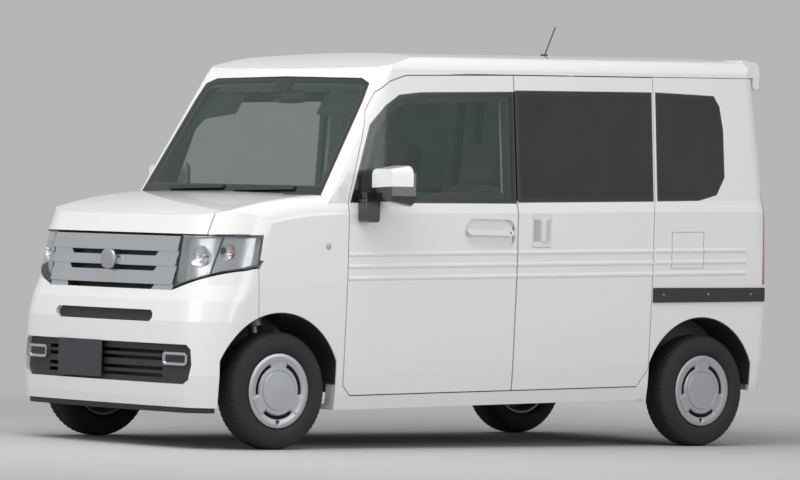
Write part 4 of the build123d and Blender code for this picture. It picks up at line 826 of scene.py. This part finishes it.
def make_floor():
    """Flat round floor: a middle point and rings of a polar grid, the outer one 90 m out."""
    radius, spokes = [2.0, 4.0, 8.0, 16.0, 40.0, 90.0], 48
    turn = np.linspace(0, 2 * np.pi, spokes, endpoint=False)
    rings = np.stack([np.outer(radius, np.cos(turn)), np.outer(radius, np.sin(turn))], -1).reshape(-1, 2)
    points = np.vstack([[[0, 0, 0]], np.pad(rings, ((0, 0), (0, 1)))])
    pairs = [(1 + i, 1 + (i + 1) % spokes) for i in range(spokes)]
    faces = [(0, i, j) for i, j in pairs]
    for start in range(0, (len(radius) - 1) * spokes, spokes):
        end = start + spokes
        faces += [(i + start, i + end, j + end, j + start) for i, j in pairs]
    mesh = bpy.data.meshes.new("floor")
    mesh.from_pydata(points.tolist(), [], faces)
    floor = bpy.data.objects.new("floor", mesh)
    bpy.context.scene.collection.objects.link(floor)
    material = bpy.data.materials.new("studio_floor")
    material.use_nodes = True
    tree = material.node_tree
    tree.nodes.clear()
    root = Wire(tree, None)
    place = root.make("ShaderNodeTexCoord", out="Object")
    reach = root.make("ShaderNodeVectorMath", {"operation": "LENGTH"}, {0: place}, "Value")
    matte = root.make("ShaderNodeBsdfDiffuse", None, {"Color": (0.46, 0.46, 0.462, 1.0)})
    glow = root.make("ShaderNodeEmission", None, {"Color": (*backdrop, 1.0), "Strength": 1.0})
    span = {"Value": reach, 1: fade_start, 2: fade_end, 3: 0.0, 4: 1.0}
    fade = root.make("ShaderNodeMapRange", {"clamp": True}, span)
    shader = root.make("ShaderNodeMixShader", None, {0: fade * seen_by_eye(root), 1: matte, 2: glow})
    end = tree.nodes.new("ShaderNodeOutputMaterial")
    tree.links.new(shader.socket, end.inputs["Surface"])
    mesh.materials.append(material)
    return floor


def make_world():
    world = bpy.data.worlds.new("studio")
    bpy.context.scene.world = world
    world.use_nodes = True
    tree = world.node_tree
    shade = tree.nodes["Background"]
    root = Wire(tree, None)
    eye = root.make("ShaderNodeLightPath", out="Is Camera Ray")
    colour = root.make(
        "ShaderNodeMix", {"data_type": "RGBA"}, {0: eye, 6: (0.50, 0.51, 0.53, 1.0), 7: (*backdrop, 1.0)}, 2
    )
    tree.links.new(colour.socket, shade.inputs["Color"])
    shade.inputs["Strength"].default_value = 1.0


def soft_lamp(name, place, aim, width, height, power, colour=(1, 1, 1)):
    """Rectangular soft box that looks at a point."""
    lamp = bpy.data.lights.new(name, "AREA")
    lamp.shape = "RECTANGLE"
    lamp.size, lamp.size_y, lamp.energy, lamp.color = width, height, power, colour
    thing = bpy.data.objects.new(name, lamp)
    bpy.context.scene.collection.objects.link(thing)
    thing.location = place
    thing.rotation_euler = (Vector(aim) - Vector(place)).to_track_quat("-Z", "Y").to_euler()
    return thing


def make_camera():
    """Long lens from the photograph's place; its angles in degrees are azimuth, elevation and roll."""
    azimuth, elevation, roll = (math.radians(v) for v in (51.01, 0.33, 1.51))
    flat = math.cos(elevation)
    back = Vector((math.sin(azimuth) * flat, -math.cos(azimuth) * flat, math.sin(elevation)))
    right = (-back).cross(Vector((0, 0, 1))).normalized()
    up = right.cross(-back)
    across = math.cos(roll) * right + math.sin(roll) * up
    upward = -math.sin(roll) * right + math.cos(roll) * up
    camera = bpy.data.cameras.new("camera")
    camera.sensor_width = 36.0
    camera.lens = 247.5
    camera.clip_start, camera.clip_end = 0.5, 300.0
    thing = bpy.data.objects.new("camera", camera)
    bpy.context.scene.collection.objects.link(thing)
    turn = Matrix((across, upward, back)).transposed().to_4x4()
    thing.matrix_world = Matrix.Translation(Vector((19.9434, -16.1288, 1.0833))) @ turn
    bpy.context.scene.camera = thing


make_floor()
make_world()
soft_lamp("key_top", (1.4, -3.4, 6.2), (0, -0.2, 0.8), 7.0, 6.0, 400.0)
soft_lamp("side_fill", (7.5, 1.5, 2.6), (0, 0.2, 0.9), 6.0, 3.0, 120.0)
soft_lamp("front_fill", (1.0, -8.0, 2.2), (0, -1.0, 0.8), 4.0, 2.4, 60.0)
make_camera()
bpy.context.scene.view_settings.view_transform = "Standard"
